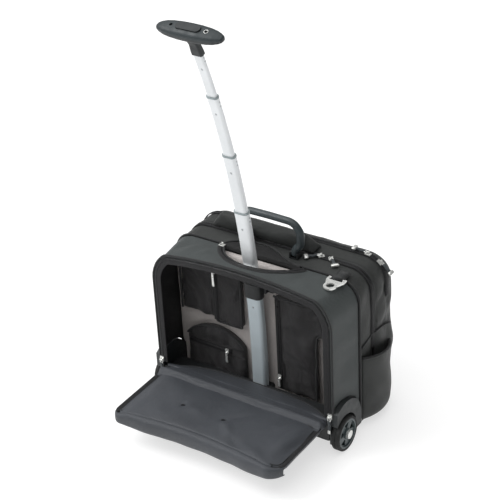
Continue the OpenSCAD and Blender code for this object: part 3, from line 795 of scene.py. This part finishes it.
def front_shell():
    sections = [(149.8, front_loop(3)), (152.5, front_loop(0.8)), (156, front_loop(0)),
        (176, front_loop(0)), (190, front_loop(0)), (200, front_loop(0.3))]
    for k in range(1, 9):
        u = math.radians(90 * k / 8)
        inset = 1 - math.cos(u)
        y = 200 + 39.5 * math.sin(u)
        loop = corner_loop(FRONT_HW - 22 * inset, SHELL_Z + 14 * inset, CASE_TOP - 38 * inset,
            14 + 8 * inset, 45)
        sections.append((y, loop))
    obj = remesh(loft("front_shell", sections, NYLON_PAINTED_SHADE), 0.006)

    def held(co):
        y = depth(co)
        return 1.0 if y < 153.5 or abs(y - 196) < 5 or co.z < 0.034 or y > 236 else 0.0

    puff(obj, 0.006, held, pressure=3.5)
    folds = [
        (R(215, 160, 320), R(215, 190, 250), 0.012, 0.0022), (R(215, 158, 250), R(215, 200, 300), 0.010,
            -0.0020),
        (R(215, 165, 225), R(215, 225, 255), 0.013, 0.0024), (R(215, 160, 200), R(214, 225, 215), 0.012,
            -0.0022),
        (R(214, 205, 200), R(210, 232, 120), 0.013, 0.0022), (R(214, 212, 100), R(212, 230, 60), 0.012,
            -0.0018),
        (R(-215, 160, 300), R(-215, 195, 230), 0.013, 0.0022), (R(-215, 205, 220), R(-212, 232, 130),
            0.014, 0.0022),
    ]

    def push(co, n):
        y = depth(co)
        away = steady(y, 151, 160) * (1 - 0.8 * math.exp(-((y - 196) / 7) ** 2)) * (1 - steady(y, 230, 238))
        d = rumple(co, 20, 21) * 0.0018 + rumple(co, 55, 22) * 0.0005
        for a, b, w, h in folds:
            d += FOLD_GAIN * fold(co, a, b, w, h)
        return d * away

    shape(subdivide(obj), push)
    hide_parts("front_compartment")
    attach(obj, "case")
    pts, normals = upper_part(front_loop(-0.9, 420), 196, 262)
    tape = zipper("front_zip", pts, normals, 0.012, "case", 0.0005)
    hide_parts("zip_tapes")
    pts, normals = upper_part(front_loop(-0.4, 420), 158, 200)
    stitches("front_stitch", pts, normals, "case")


def front_pocket():
    sections = []
    for k in range(9):
        t = k / 8
        inset = 13 * (1 - math.sqrt(max(0, 1 - t * t)))
        sections.append((240.4 + 12.6 * t, corner_loop(183 - inset, 52 + inset, 282 - inset, 22, 32)))
    obj = remesh(loft("pocket_shell", sections, NYLON_PAINTED_SHADE), 0.0055)

    def held(co):
        y = depth(co)
        return 1.0 if y < 242.5 else 0.0

    puff(obj, 0.004, held, pressure=3)

    def push(co, n):
        inside = steady(depth(co), 242, 250)
        return inside * (rumple(co, 14, 31) * 0.0022 + rumple(co, 45, 32) * 0.0005)

    shape(subdivide(obj), push)
    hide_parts("front_pocket")
    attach(obj, "case")
    cord = [R(x, 241.6, z) for x, z in corner_loop(184, 51, 283, 22, 32, None, 260)]
    tube("pocket_piping", cord, 0.0022, SEAM_CORD, "case", closed=True)
    pts = [R(x, 254.6, 250 + 6 * math.cos(x / 150 * math.pi / 2)) for x in range(-150, 151, 6)]
    pts, normals = drape(tree_of(obj), pts, Vector((0, -1, 0)))
    zipper("pocket_zip", pts, normals, 0.013, "case", 0.0006)


def bottle_pocket(side, name):
    """A bowed wall sewn to the panel at both sides and below, open at its slanted mouth."""
    low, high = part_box("bottle_pockets")
    base = FRONT_HW + 0.3
    bowed = high[0] * 1000 - base
    radius = (56 ** 2 + bowed ** 2) / (2 * bowed)

    def arc(y, inward):
        x = base + bowed - radius + math.sqrt(radius ** 2 - (y - 156) ** 2)
        return max(base - 4, x - inward)

    def mouth(y):
        return 172 - (y - 80) * math.tan(math.radians(9))

    rings = []
    across = [101 + 110 * k / 40 for k in range(41)]
    for v, inward in ((0, 14), (0.015, 8), (0.05, 3), (0.1, 0.8), (0.2, 0), (0.4, 0), (0.6, 0), (0.8, 0),
        (0.95, 0), (1, 0)):
        outer = [(arc(y, inward), y) for y in across]
        inner = [(arc(y, inward + 5) - 0.5, y) for y in reversed(across)]
        rings.append([R(side * x, y, 16 + v * (mouth(y) - 16)) for x, y in outer + inner])
    obj = remesh(loft_rings("bottle_pocket_" + name, rings, NYLON_PAINTED_SHADE), 0.0032)

    def held(co):
        return 1.0 if abs(depth(co) - 156) > 49 or co.z < 0.026 or co.z * 1000 > mouth(depth(co)) - 6 else 0.0

    puff(obj, 0.003, held, pressure=2)

    def push(co, n):
        inside = steady(co.z, 0.03, 0.06) * (1 - 0.6 * steady(co.z, 0.14, 0.165))
        slant = math.sin(co.z * 1000 / 15 + (co.y * 1000) / 11 + 4 * rumple(co, 8, 7)) * 0.0012
        return inside * (rumple(co, 22, 41 + side) * 0.0019 + slant)

    shape(subdivide(obj), push)
    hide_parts("bottle_pockets")
    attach(obj, "case")
    rim = [R(side * (arc(y, 1.6)), y, mouth(y)) for y in across]
    tube(f"bottle_binding_{name}", rim, 0.0031, SEAM_CORD, "case")
    # seam of the panel above the mouth
    seam = [R(side * (216.4 if y > 150 else 213.4), y, 192 + 12 * math.sin(math.pi * (y - 101) / 110))
        for y in across]
    tube(f"bottle_seam_{name}", seam, 0.0018, SEAM_CORD, "case")


def floor_pad():
    """Soft floor of the rear compartment, level with the open door."""
    half, side_depth, swell = 192, 10, 38
    edge = [(x, side_depth + swell * (1 - (x / half) ** 4)) for x in range(-half, half + 1, 12)]
    line = evenly([R(x, y, 0) for x, y in edge], 61)
    rings = []
    for p in line:
        x, y1 = p.x * 1000, depth(p)
        rings.append([R(x, y, z) for y, z in (
            (1, 64.4), (1, 76.8), (4, 78.2), (9, 78.3), (y1 * 0.5 + 3.5, 74), (y1 - 3, 69.5), (y1,
                66.5), (y1, 64.4), (y1 * 0.5, 64.3),
        )])
    pad = loft_rings("floor_pad", rings, LINING)
    shape(subdivide(pad), lambda co, n: rumple(co, 22, 17) * 0.0012)
    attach(pad, "case")
    tube("floor_piping", [Vector((p.x, p.y, 0.0665)) for p in line], 0.0017, SEAM_CORD, "case")


def handle_bridge():
    obj = remesh(copy_of("handle_yoke", "bridge_pad", NYLON_PAINTED_SHADE), 0.0045)
    smooth(obj, 6)
    puff(obj, 0.005, lambda co: 1.0 if co.z * 1000 < CASE_TOP + 6 else 0.0, pressure=4)
    shape(subdivide(obj), lambda co, n: rumple(co, 26, 51) * 0.0014)
    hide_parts("handle_yoke")
    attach(obj, "case")


def divider():
    obj = remesh(copy_of("divider_panel", "divider_pad", TAUPE), 0.006)

    def push(co, n):
        return (rumple(co, 12, 61) * 0.0014 + rumple(co, 40, 62) * 0.0004) if n.y < -0.5 else 0

    shape(subdivide(obj), push)
    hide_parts("divider_panel")
    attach(obj, "case")


def sleeve():
    obj = smooth(remesh(copy_of("laptop_sleeve", "sleeve_pad", LINING), 0.0045), 3)
    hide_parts("laptop_sleeve")
    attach(obj, "case")


# --------------------------------------------------------------------------- inside pockets
def mesh_pocket(node, zip_at, upright, seed):
    """A pouch of mesh. It stays flat along its zip and its rim."""
    low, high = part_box(node)
    obj = smooth(remesh(copy_of(node, node + "_pouch", MESH), 0.0034), 4)
    front = low[1]

    def near_zip(co):
        return abs((co.x if upright else co.z) * 1000 - zip_at) < 9

    puff(obj, 0.0055, lambda co: 1.0 if co.y > front + 0.009 or near_zip(co) else 0.0, pressure=5)

    def push(co, n):
        if n.y > -0.3 or near_zip(co):
            return 0
        lines = math.sin(co.x * 1000 / 7 + co.z * 1000 / 19 + 6 * rumple(co, 11, seed)) * 0.0017
        return rumple(co, 22, seed) * 0.0042 + lines + rumple(co, 60, seed) * 0.0012

    shape(subdivide(obj), push)
    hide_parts(node)
    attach(obj, "case")


def inside_pockets():
    back = Vector((0, -1, 0))
    mesh_pocket("mesh_pocket_upper", -100, True, 71)
    mesh_pocket("mesh_pocket_lower", 114, False, 72)
    mesh_pocket("mesh_pocket_side", 48, True, 73)
    for name, line in (
        ("upper", [(-100, z) for z in range(182, 309, 4)]),
        ("lower", [(x, 114) for x in range(-172, -66, 4)]),
        ("side", [(48, z) for z in range(66, 277, 4)]),
    ):
        pts = [R(x, 61.4, z) for x, z in line]
        tape = zipper(f"pocket_zip_{name}", pts, [back] * len(pts), 0.011, "case")
        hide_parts("zip_tapes")
    rims = {
        "upper": [(-186, 186), (-186, 314), (-101, 314), (-101, 298), (-40, 298), (-40, 178), (-101, 178),
            (-101, 186)],
        "lower": [(-108 + 89 * math.cos(math.radians(a)), 72 + 89 * math.sin(math.radians(a)))
            for a in range(38, 143, 4)],
        "side": [(132, 60), (132, 128), (134, 150), (133, 180), (136, 214), (150, 222), (153, 240),
            (151, 262), (138, 270), (132, 280), (38, 280)],
    }
    for name, rim in rims.items():
        pts = evenly([R(x, 63.5, z) for x, z in rim], 90)
        tube(f"pocket_binding_{name}", pts, 0.0024, SEAM_CORD, "case")


# --------------------------------------------------------------------------- door
DOOR_HW = 194.5
FOLD_Y = (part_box("door_flap")[0][1] - REAR_Y) * 1000 + 6
NEAR_Y = FOLD_Y + 4
FOLD_Z = 70 - FOLD_Y - 10


def bow(x):
    """How far the door's near edge draws in between its corners, in mm."""
    return 20 * (1 - (x / DOOR_HW) ** 2)


def side_drop(x):
    """How far the door's top rounds down towards its two sides, in mm."""
    return 7 * (1 - steady(DOOR_HW - abs(x), 2, 52)) ** 2


def door_outline(inset, r_left=18, r_right=34, far_y=-19.5, near=NEAR_Y, hw=DOOR_HW, count=240):
    """The door seen from above, anticlockwise, with its near edge bowed in."""
    pts = []
    x0, x1, y0, y1 = -hw + inset, hw - inset, near + inset, far_y - inset
    r_left, r_right = max(2, r_left - inset), max(2, r_right - inset)
    for cx, cy, r, start in ((x0 + r_left, y0 + r_left, r_left, 180),
        (x1 - r_right, y0 + r_right, r_right, 270)):
        for k in range(13):
            a = math.radians(start + 90 * k / 12)
            pts.append((cx + r * math.cos(a), cy + r * math.sin(a)))
        if start == 180:
            for k in range(1, 24):
                x = x0 + r_left + (x1 - r_right - x0 - r_left) * k / 24
                pts.append((x, y0))
    pts += [(x1, y1), (x0, y1)]
    out = []
    for x, y in evenly(pts, count, True):
        out.append((x, y + bow(x) * (1 - steady(y, near, near + 90))))
    return out


def door():
    rings = []
    for z, inset in ((61.5, 7), (62.2, 3), (65, 0.8), (70, 0), (75, 0.8), (77.8, 3), (78.6, 7)):
        rings.append([R(x, y, z) for x, y in door_outline(inset)])
    obj = remesh(loft_rings("door_pad", rings, LINING), 0.0052)
    rim_pts = [R(x, y, 70) for x, y in door_outline(9, count=160)]

    def edge_gap(co):
        return min((co.x - p.x) ** 2 + (co.y - p.y) ** 2 for p in rim_pts) ** 0.5

    gaps = [edge_gap(v.co) for v in obj.data.vertices]
    lookup = {tuple(round(c, 6) for c in v.co): g for v, g in zip(obj.data.vertices, gaps)}
    puff(obj, 0.0035, lambda co: 1.0 if lookup.get(tuple(round(c, 6) for c in co), 1) < 0.005 else 0.0,
        pressure=3)
    loops = (R(-78, -100, 79), R(18, -101, 79))
    folds = [
        (R(18, -101, 79), R(66, -146, 79), 0.010, 0.0026), (R(18, -101, 79), R(60, -60, 79), 0.009,
            -0.0016),
        (R(-78, -100, 79), R(-30, -104, 79), 0.012, 0.0012), (R(175, -40, 79), R(150, -130, 79), 0.014,
            0.0026),
        (R(188, -50, 79), R(168, -140, 79), 0.010, -0.0022), (R(150, -30, 79), R(120, -80, 79), 0.012,
            0.0016),
        (R(-150, -30, 79), R(-90, -70, 79), 0.022, 0.0014), (R(-120, -140, 79), R(-30, -152, 79), 0.020,
            0.0012),
        (R(100, -146, 79), R(156, -170, 79), 0.012, 0.0018), (R(40, -126, 79), R(92, -160, 79), 0.010,
            -0.0016),
    ]

    def push(co, n):
        if n.z < 0.4:
            return rumple(co, 30, 81) * 0.0005
        d = rumple(co, 11, 82) * 0.0016 + rumple(co, 34, 83) * 0.0007
        for a, b, w, h in folds:
            d += DOOR_FOLD_GAIN * fold(co, a, b, w, h)
        for p in loops:
            d -= 0.0022 * math.exp(-((co - p).length / 0.009) ** 2)
        return d - side_drop(co.x * 1000) / 1000

    shape(subdivide(obj), push)
    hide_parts("door_panel", "door_lining")
    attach(obj, "door")
    tree = tree_of(obj)

    def side_edge(side, inset, reach):
        """One side of the outline, laid on the pad: reach is how far it runs in from the side, in mm."""
        edge = [(x, y) for x, y in door_outline(inset, count=300) if x * side > DOOR_HW - reach and y < -21]
        edge.sort(key=lambda q: math.atan2(q[0] * side - DOOR_HW + 90, q[1] - NEAR_Y - 60))
        return drape(tree, [R(x, y, 90) for x, y in edge])

    for k, (side, reach) in enumerate(((-1, 13), (1, 24))):
        pts, normals = side_edge(side, 5.4, reach)
        ribbon(f"door_edge_tape_{k}", pts, normals, 0.0095, 0.0011, TAPE, "door", 0.0002)
        tube(f"door_edge_cord_{k}", side_edge(side, 10.6, reach + 4)[0], 0.0011, SEAM_CORD, "door")
        stitches(f"door_stitch_{k}", pts, normals, "door", 0.0042, 0.0012)
    for k, p in enumerate(loops):
        arc = [p + Vector((0.004 * math.cos(a), 0.0015 * math.cos(a), 0.0032 * math.sin(a) - 0.0012))
            for a in (math.radians(v) for v in range(0, 181, 12))]
        tube(f"door_loop_{k}", arc, 0.0013, THREAD, "door")
    return tree


def door_flap(pad_tree):
    """The folded top of the door, and the band that wraps the fold."""
    shift = NEAR_Y - FOLD_Z
    rings = []
    for z, inset in ((45, 6), (46, 2.5), (48.5, 0.5), (52, 0), (55.5, 0.8), (57.4, 3), (58, 7)):
        loop = []
        for x, h in evenly([p for p in rear_loop(9 + inset, 400) if p[1] > FOLD_Z + inset], 200, True):
            thin = 1 - 0.45 * steady(abs(x), 100, 190)
            side = DOOR_HW - 7 - inset - 26 * (1 - steady(h, FOLD_Z, FOLD_Z + 34)) ** 2
            x = max(-side, min(side, x))
            loop.append(R(x, h + shift + bow(x) * (1 - steady(h, FOLD_Z, FOLD_Z + 60)),
                58 - (58 - z) * thin))
        rings.append(loop)
    obj = remesh(loft_rings("flap_pad", rings, NYLON), 0.0052)
    puff(obj, 0.003, lambda co: 1.0 if abs(co.y - R(0, NEAR_Y, 0).y) < 0.012 else 0.0, pressure=3)
    shape(subdivide(obj), lambda co, n: rumple(co, 18, 91) * 0.0012 + rumple(co, 50, 92) * 0.0004)
    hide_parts("door_flap")
    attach(obj, "flap")

    # band: a half-round skin, thick enough to read as padding
    profile = [(3.0, 78.9), (-3, 78.9), (-8, 77.2), (-11.2, 73), (-12.2, 67), (-12.2, 61), (-12.0, 55),
        (-11, 49.5), (-8, 45.8), (-3, 44.4), (3.0, 44.6)]
    inner = [(3.0, 76.6), (-2.6, 76.4), (-6.6, 75), (-9, 71.6), (-9.8, 67), (-9.8, 61), (-9.6, 55),
        (-8.8, 51), (-6.6, 48.2), (-2.6, 47), (3.0, 47)]
    ring = profile + inner[::-1]
    rings = []
    for k in range(61):
        t = k / 60
        x = -DOOR_HW + 1 + (2 * DOOR_HW - 2) * t
        corner = 15 * max(0, 1 - (x + DOOR_HW) / 17) ** 2 + 27 * max(0, 1 - (DOOR_HW - x) / 33) ** 2
        end = min(x + DOOR_HW, DOOR_HW - x)
        squeeze = 0.5 + 0.5 * steady(end, -20, 95) - 0.12 * max(0, 1 - end / 9) ** 2
        lift = (79 - side_drop(x) - 61.6) / 17.4
        rings.append([
            R(x, NEAR_Y + bow(x) + corner + dy * squeeze,
                61.6 + (z - 61.6) * (lift if z > 61.6 else squeeze))
            for dy, z in ring
        ])
    band = loft_rings("fold_band", rings, LINING)
    shape(subdivide(band), lambda co, n: rumple(co, 26, 95) * 0.0012)
    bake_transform(band)
    # hem that closes the gap along the hinge
    hinge = [
        (8, 64.6), (8, 77.2), (3, 78.2), (-4, 78.8), (-11, 79), (-18, None), (-27, None), (-36,
            None), (-36, 74),
        (-24, 74), (-20, 62.5), (-12, 61.6), (-4, 61.8),
    ]
    rings = []
    for k in range(41):
        x = -DOOR_HW + 2 + (2 * DOOR_HW - 4) * k / 40
        ring = []
        for y, z in hinge:
            if z is None:
                z = drape(pad_tree, [R(x, y, 90)])[0][0].z * 1000 + (0.5 if y > -30 else -0.8)
            elif z > 75:
                z -= side_drop(x) * 0.8
            ring.append(R(x, y, z))
        rings.append(ring)
    hem = subdivide(loft_rings("hinge_hem", rings, LINING))
    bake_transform(hem)


# --------------------------------------------------------------------------- handle, rings and loops
def carry_handle():
    centre = [(56.5, 350), (56.8, 358), (60, 365), (66, 371), (69.2, 379), (69.5, 389)]
    for k in range(1, 13):
        a = math.radians(90 * k / 12)
        centre.append((41.5 + 28 * math.cos(a), 393.5 + 28 * math.sin(a)))
    whole = centre + [(0, 422.2)] + [(-x, z) for x, z in reversed(centre)]
    pts = evenly([R(x, 120, z) for x, z in whole], 120)
    obj = tube("handle_arch", pts, 0.0084, HANDLE, None, sides=16)
    low = pts[0].z

    def push(co, n):
        grip = steady(co.z, 0.400, 0.415)
        return grip * 0.0009 - (1 - steady(co.z, low, low + 0.02)) * 0.0006

    shape(obj, push)
    subdivide(obj)
    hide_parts("carry_handle")
    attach(obj, "handle")


def strap_loops():
    """Webbing folded round each ring's bar and sewn down: on the top, and on the left side."""
    path = [(32, -2.6), (20, -2.7), (10, -3.0), (4, -3.6)]
    for k in range(13):
        a = math.radians(-90 - 180 * k / 12)
        path.append((3.9 * math.cos(a), 3.9 * math.sin(a)))
    path += [(4, 2.6), (10, 0.6), (20, -0.4), (32, -0.8)]
    right = (R(172, 84, 348), Vector((1, 0, 0)), Vector((0, 1, 0)), Vector((0, 0, 1)))
    left = (R(-217, 119, SIDE_RING_Z), Vector((0, 1, 0)), Vector((0, 0, 1)), Vector((-1, 0, 0)))
    first = None
    for name, (centre, bar, away, out) in (("right", right), ("left", left)):
        pts, normals = [], []
        for i, (u, v) in enumerate(path):
            a, b = path[max(0, i - 1)], path[min(len(path) - 1, i + 1)]
            t = Vector((b[0] - a[0], b[1] - a[1])).normalized()
            sink = 2.2 if name == "left" and u > 9 else 0
            pts.append(centre + (away * u + out * (v - sink)) / 1000)
            normals.append(away * t.y - out * t.x)
        piece = ribbon(f"ring_webbing_{name}", pts, normals, 0.024, 0.0013, WEBBING, "case")
        first = first or piece
        for k, x in enumerate((-10, 10)):
            line = [centre + (bar * x + away * u + out * (0.9 - (2.2 if name == "left" else 0))) / 1000
                for u in range(12, 31, 3)]
            stitches(f"ring_stitch_{name}_{k}", line, [out] * len(line), "case", 0.003)
    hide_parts("strap_loops")


# --------------------------------------------------------------------------- zip pulls
def pull(node, body, pin, along, normal, length, cap):
    """Wire ring, woven tab and moulded end of one zip pull, from its pin outwards."""
    side = along.cross(normal)

    def at(a, b, c):
        return pin + along * (a / 1000) + side * (b / 1000) + normal * (c / 1000)

    ring = [at(5 + 5.2 * math.cos(t), 2.6 * math.sin(t), 0) for t in angles(20)]
    wire = tube(node + "_ring", ring, 0.0011, ZINC, body, closed=True)
    pts = [at(8 + (length - 11) * k / 14, 0.35 * math.sin(k * 1.1), 0.5 * math.sin(k * 0.8))
        for k in range(15)]
    verts, faces = ribbon_parts(pts, [normal] * len(pts), 0.0062, 0.0022, -0.0011)
    tab = made(node + "_tab", verts, faces, PULL_TAPE, body)
    rings = []
    for a, w, h in ((length - 8, 3.2, 1.4), (length - 7.2, cap - 0.5, 2.1), (length - 1, cap, 2.3),
        (length - 0.2, cap - 0.7, 1.5)):
        rings.append([at(a, w * math.copysign(abs(math.cos(t)) ** 0.5, math.cos(t)),
            h * math.copysign(abs(math.sin(t)) ** 0.5, math.sin(t))) for t in angles(18)])
    end = loft_rings(node + "_end", rings, ZINC)
    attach(end, body)
    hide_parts(node)


def zip_pulls():
    top = CASE_TOP + 1.6 + 4.8
    up = Vector((0, 0, 1))
    for node, x, turn in (("main_pull_left", 100, -139), ("main_pull_right", 122, -45)):
        a = math.radians(turn)
        pull(node, node + "_tab", R(x, MAIN_Y - 5, top), Vector((math.cos(a), math.sin(a), 0)), up, 34, 8)
    r = 45 + 1.6 + 4.8
    for node, turn, sign in (("front_pull_left", 6, -1), ("front_pull_right", 40, 1)):
        a = math.radians(turn)
        normal = Vector((math.sin(a), 0, math.cos(a)))
        along = Vector((math.cos(a), 0, -math.sin(a))) * sign
        pin = R(FRONT_HW - 45 + r * math.sin(a), 196, CASE_TOP - 45 + r * math.cos(a))
        pull(node, node + "_tab", pin, along, normal, 34, 8)
    for node, x in (("door_pull_left", -200.3), ("door_pull_right", 200.3)):
        pull(node, node + "_tab", R(x, -4.8, 90), Vector((0, 0, -1)), Vector((0, -1, 0)), 38, 3.3)


def pocket_pullers():
    """A flat metal puller, narrow at its neck and widening towards its end, hanging from each inside slider."""
    for node, body, length in (
        ("upper_pocket_slider", "upper_slider", 34), ("lower_pocket_slider", "lower_slider", 26),
        ("side_pocket_slider", "side_slider", 22),
    ):
        low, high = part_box(node)
        x = (low[0] + high[0]) / 2 * 1000
        y = (low[1] - REAR_Y) * 1000 + 0.4
        top = high[2] * 1000 - 6
        rings = []
        for drop, w, t in ((0, 0.8, 0.6), (1, 1.8, 0.8), (6, 1.5, 0.8), (12, 2.2, 0.8),
            (length - 6, 3.3, 0.9), (length - 2, 3.0, 0.9), (length, 1.6, 0.7)):
            rings.append([R(x + a * w, y - 1 + b * t + 0.06 * drop, top - drop) for a,
                b in ((-1, -0.6), (-0.8, -1), (0.8, -1), (1, -0.6), (1, 0.6), (0.8, 1), (-0.8, 1),
                (-1, 0.6))])
        puller = subdivide(loft_rings(body + "_puller", rings, ZINC))
        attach(puller, body)


# --------------------------------------------------------------------------- pole
def on_arc(s, out=0.0, x=0.0):
    """A point on the pole's arc at station s, out from its axis by out along +Y at the foot."""
    a = s / ARC_R
    r = ARC_R + out
    return R(x, ARC_Y + r * math.cos(a), ARC_Z + r * math.sin(a))


def stud(name, centre, normal, radius, height, material, body):
    side = normal.orthogonal().normalized()
    other = normal.cross(side)
    rings = []
    for h, r in ((-0.3, 1), (0.25, 1), (0.62, 0.9), (0.88, 0.62), (1, 0.25)):
        rings.append([
            centre + normal * (h * height) + (side * math.cos(t) + other * math.sin(t)) * (r * radius)
            for t in (2 * math.pi * k / 16 for k in range(16))
        ])
    piece = loft_rings(name, rings, material)
    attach(piece, body)
    return piece


def pole_details():
    """Rivets on the side of each tube and the sprung lock pins in its rear face."""
    bodies = ("case", "stage_1", "stage_2", "stage_3", "grip")
    heads = (198, 377, 512, 652, 757)
    for k, (body, head) in enumerate(zip(bodies, heads)):
        half_w = (34 - 3.6 * k) / 2
        half_d = (19 - 2.6 * k) / 2
        pin_s = 150 if k == 0 else head - 38
        a = pin_s / ARC_R
        out = Vector((0, -math.cos(a), -math.sin(a)))
        stud(f"lock_pin_{k}", on_arc(pin_s, -half_d + 0.4), out, 0.0021, 0.0005, STEEL, body)
        if k:
            for n, drop in enumerate((11, 20)):
                stud(f"rivet_{k}_{n}", on_arc(head - drop, 0, half_w), Vector((1, 0, 0)), 0.0019, 0.00012,
                    STEEL, body)

    # bright rim round the right-hand screw of the grip
    a = GRIP_S / ARC_R
    along, across, up = Vector((1, 0, 0)), Vector((0, math.cos(a), math.sin(a))), Vector((0, -math.sin(a),
        math.cos(a)))
    centre = on_arc(GRIP_S) + along * 0.036 + up * 0.0104
    rim = [centre + along * (0.0038 * math.cos(t)) + across * (0.0038 * math.sin(t)) - up * (0.0002 * math.cos(t)) for t in angles(20)]
    tube("grip_screw_rim", rim, 0.0007, ZINC, "grip", closed=True)


# --------------------------------------------------------------------------- run
main_shell()
front_shell()
front_pocket()
bottle_pocket(1, "right")
bottle_pocket(-1, "left")
handle_bridge()
divider()
sleeve()
floor_pad()
inside_pockets()
door_flap(door())
carry_handle()
strap_loops()
zip_pulls()
pocket_pullers()
pole_details()

paint(BLACK, "base_tray", "kick_plate", "skid_feet", "pole_bracket", "collar", "collar_bracket",
    "handle_anchors")
paint(HOUSING, "wheel_housings")
paint(STEEL, "axles", "grip_screws", "button_spring")
paint(TUBE_LOW, "outer_tube")
paint(TUBE, "stage_tube_1", "stage_tube_2", "stage_tube_3", "stage_tube_4")
paint(RING, "end_ring_1", "end_ring_2", "end_ring_3")
paint(GRIP, "grip_lower", "release_button")
paint(GRIP_TOP, "grip_upper")
paint(ZINC, "zip_sliders", "d_ring_left", "d_ring_right", "hub_cap_left", "hub_cap_right")
paint(ZINC, "upper_pocket_slider", "lower_pocket_slider", "side_pocket_slider")
paint(RIM, "wheel_rim_left", "wheel_rim_right")
paint(RUBBER, "tyre_left", "tyre_right")
paint(BUSH, "wheel_bush_left", "wheel_bush_right")

for name in ("base_tray", "skid_feet", "collar_bracket", "handle_anchors", "wheel_housings",
    "d_ring_left", "d_ring_right", "release_button"):
    bevel(nodes[name], 0.0006 if name.startswith("d_ring") else 0.001)

# lights, floor and world
scene.view_settings.view_transform = "Standard"
world = bpy.data.worlds.new("world")
scene.world = world
world.use_nodes = True
world.node_tree.nodes["Background"].inputs["Color"].default_value = (1, 1, 1, 1)
world.node_tree.nodes["Background"].inputs["Strength"].default_value = 0.2


def area_light(name, place, target, size, power):
    data = bpy.data.lights.new(name, "AREA")
    data.size = size
    data.energy = power
    obj = bpy.data.objects.new(name, data)
    scene.collection.objects.link(obj)
    obj.location = place
    obj.rotation_euler = (Vector(target) - Vector(place)).to_track_quat("-Z", "Y").to_euler()


area_light("key", (-1.7, -1.3, 2.6), (0, 0, 0.25), 1.4, 34)
sun = bpy.data.objects.new("sun", bpy.data.lights.new("sun", "SUN"))
sun.data.energy = 2.7
sun.data.angle = math.radians(100)
sun.rotation_euler = Vector((-0.35, -0.18, 1)).to_track_quat("Z", "Y").to_euler()
scene.collection.objects.link(sun)

floor = made("floor", [(-6, -6, 0), (6, -6, 0), (6, 6, 0), (-6, 6, 0)], [(0, 1, 2, 3)], RING, smooth=False)
floor_mat = Graph("floor", 0.9)
floor_mat.bsdf.inputs["Emission Color"].default_value = (1, 1, 1, 1)
floor_mat.bsdf.inputs["Emission Strength"].default_value = 0.62
floor_mat.link(floor_mat.colours(floor_mat.noise(3, 2), [(0.3, (0.46, 0.46, 0.46)),
    (0.7, (0.48, 0.48, 0.48))]), floor_mat.bsdf.inputs["Base Color"])
floor.data.materials.clear()
floor.data.materials.append(floor_mat.mat)
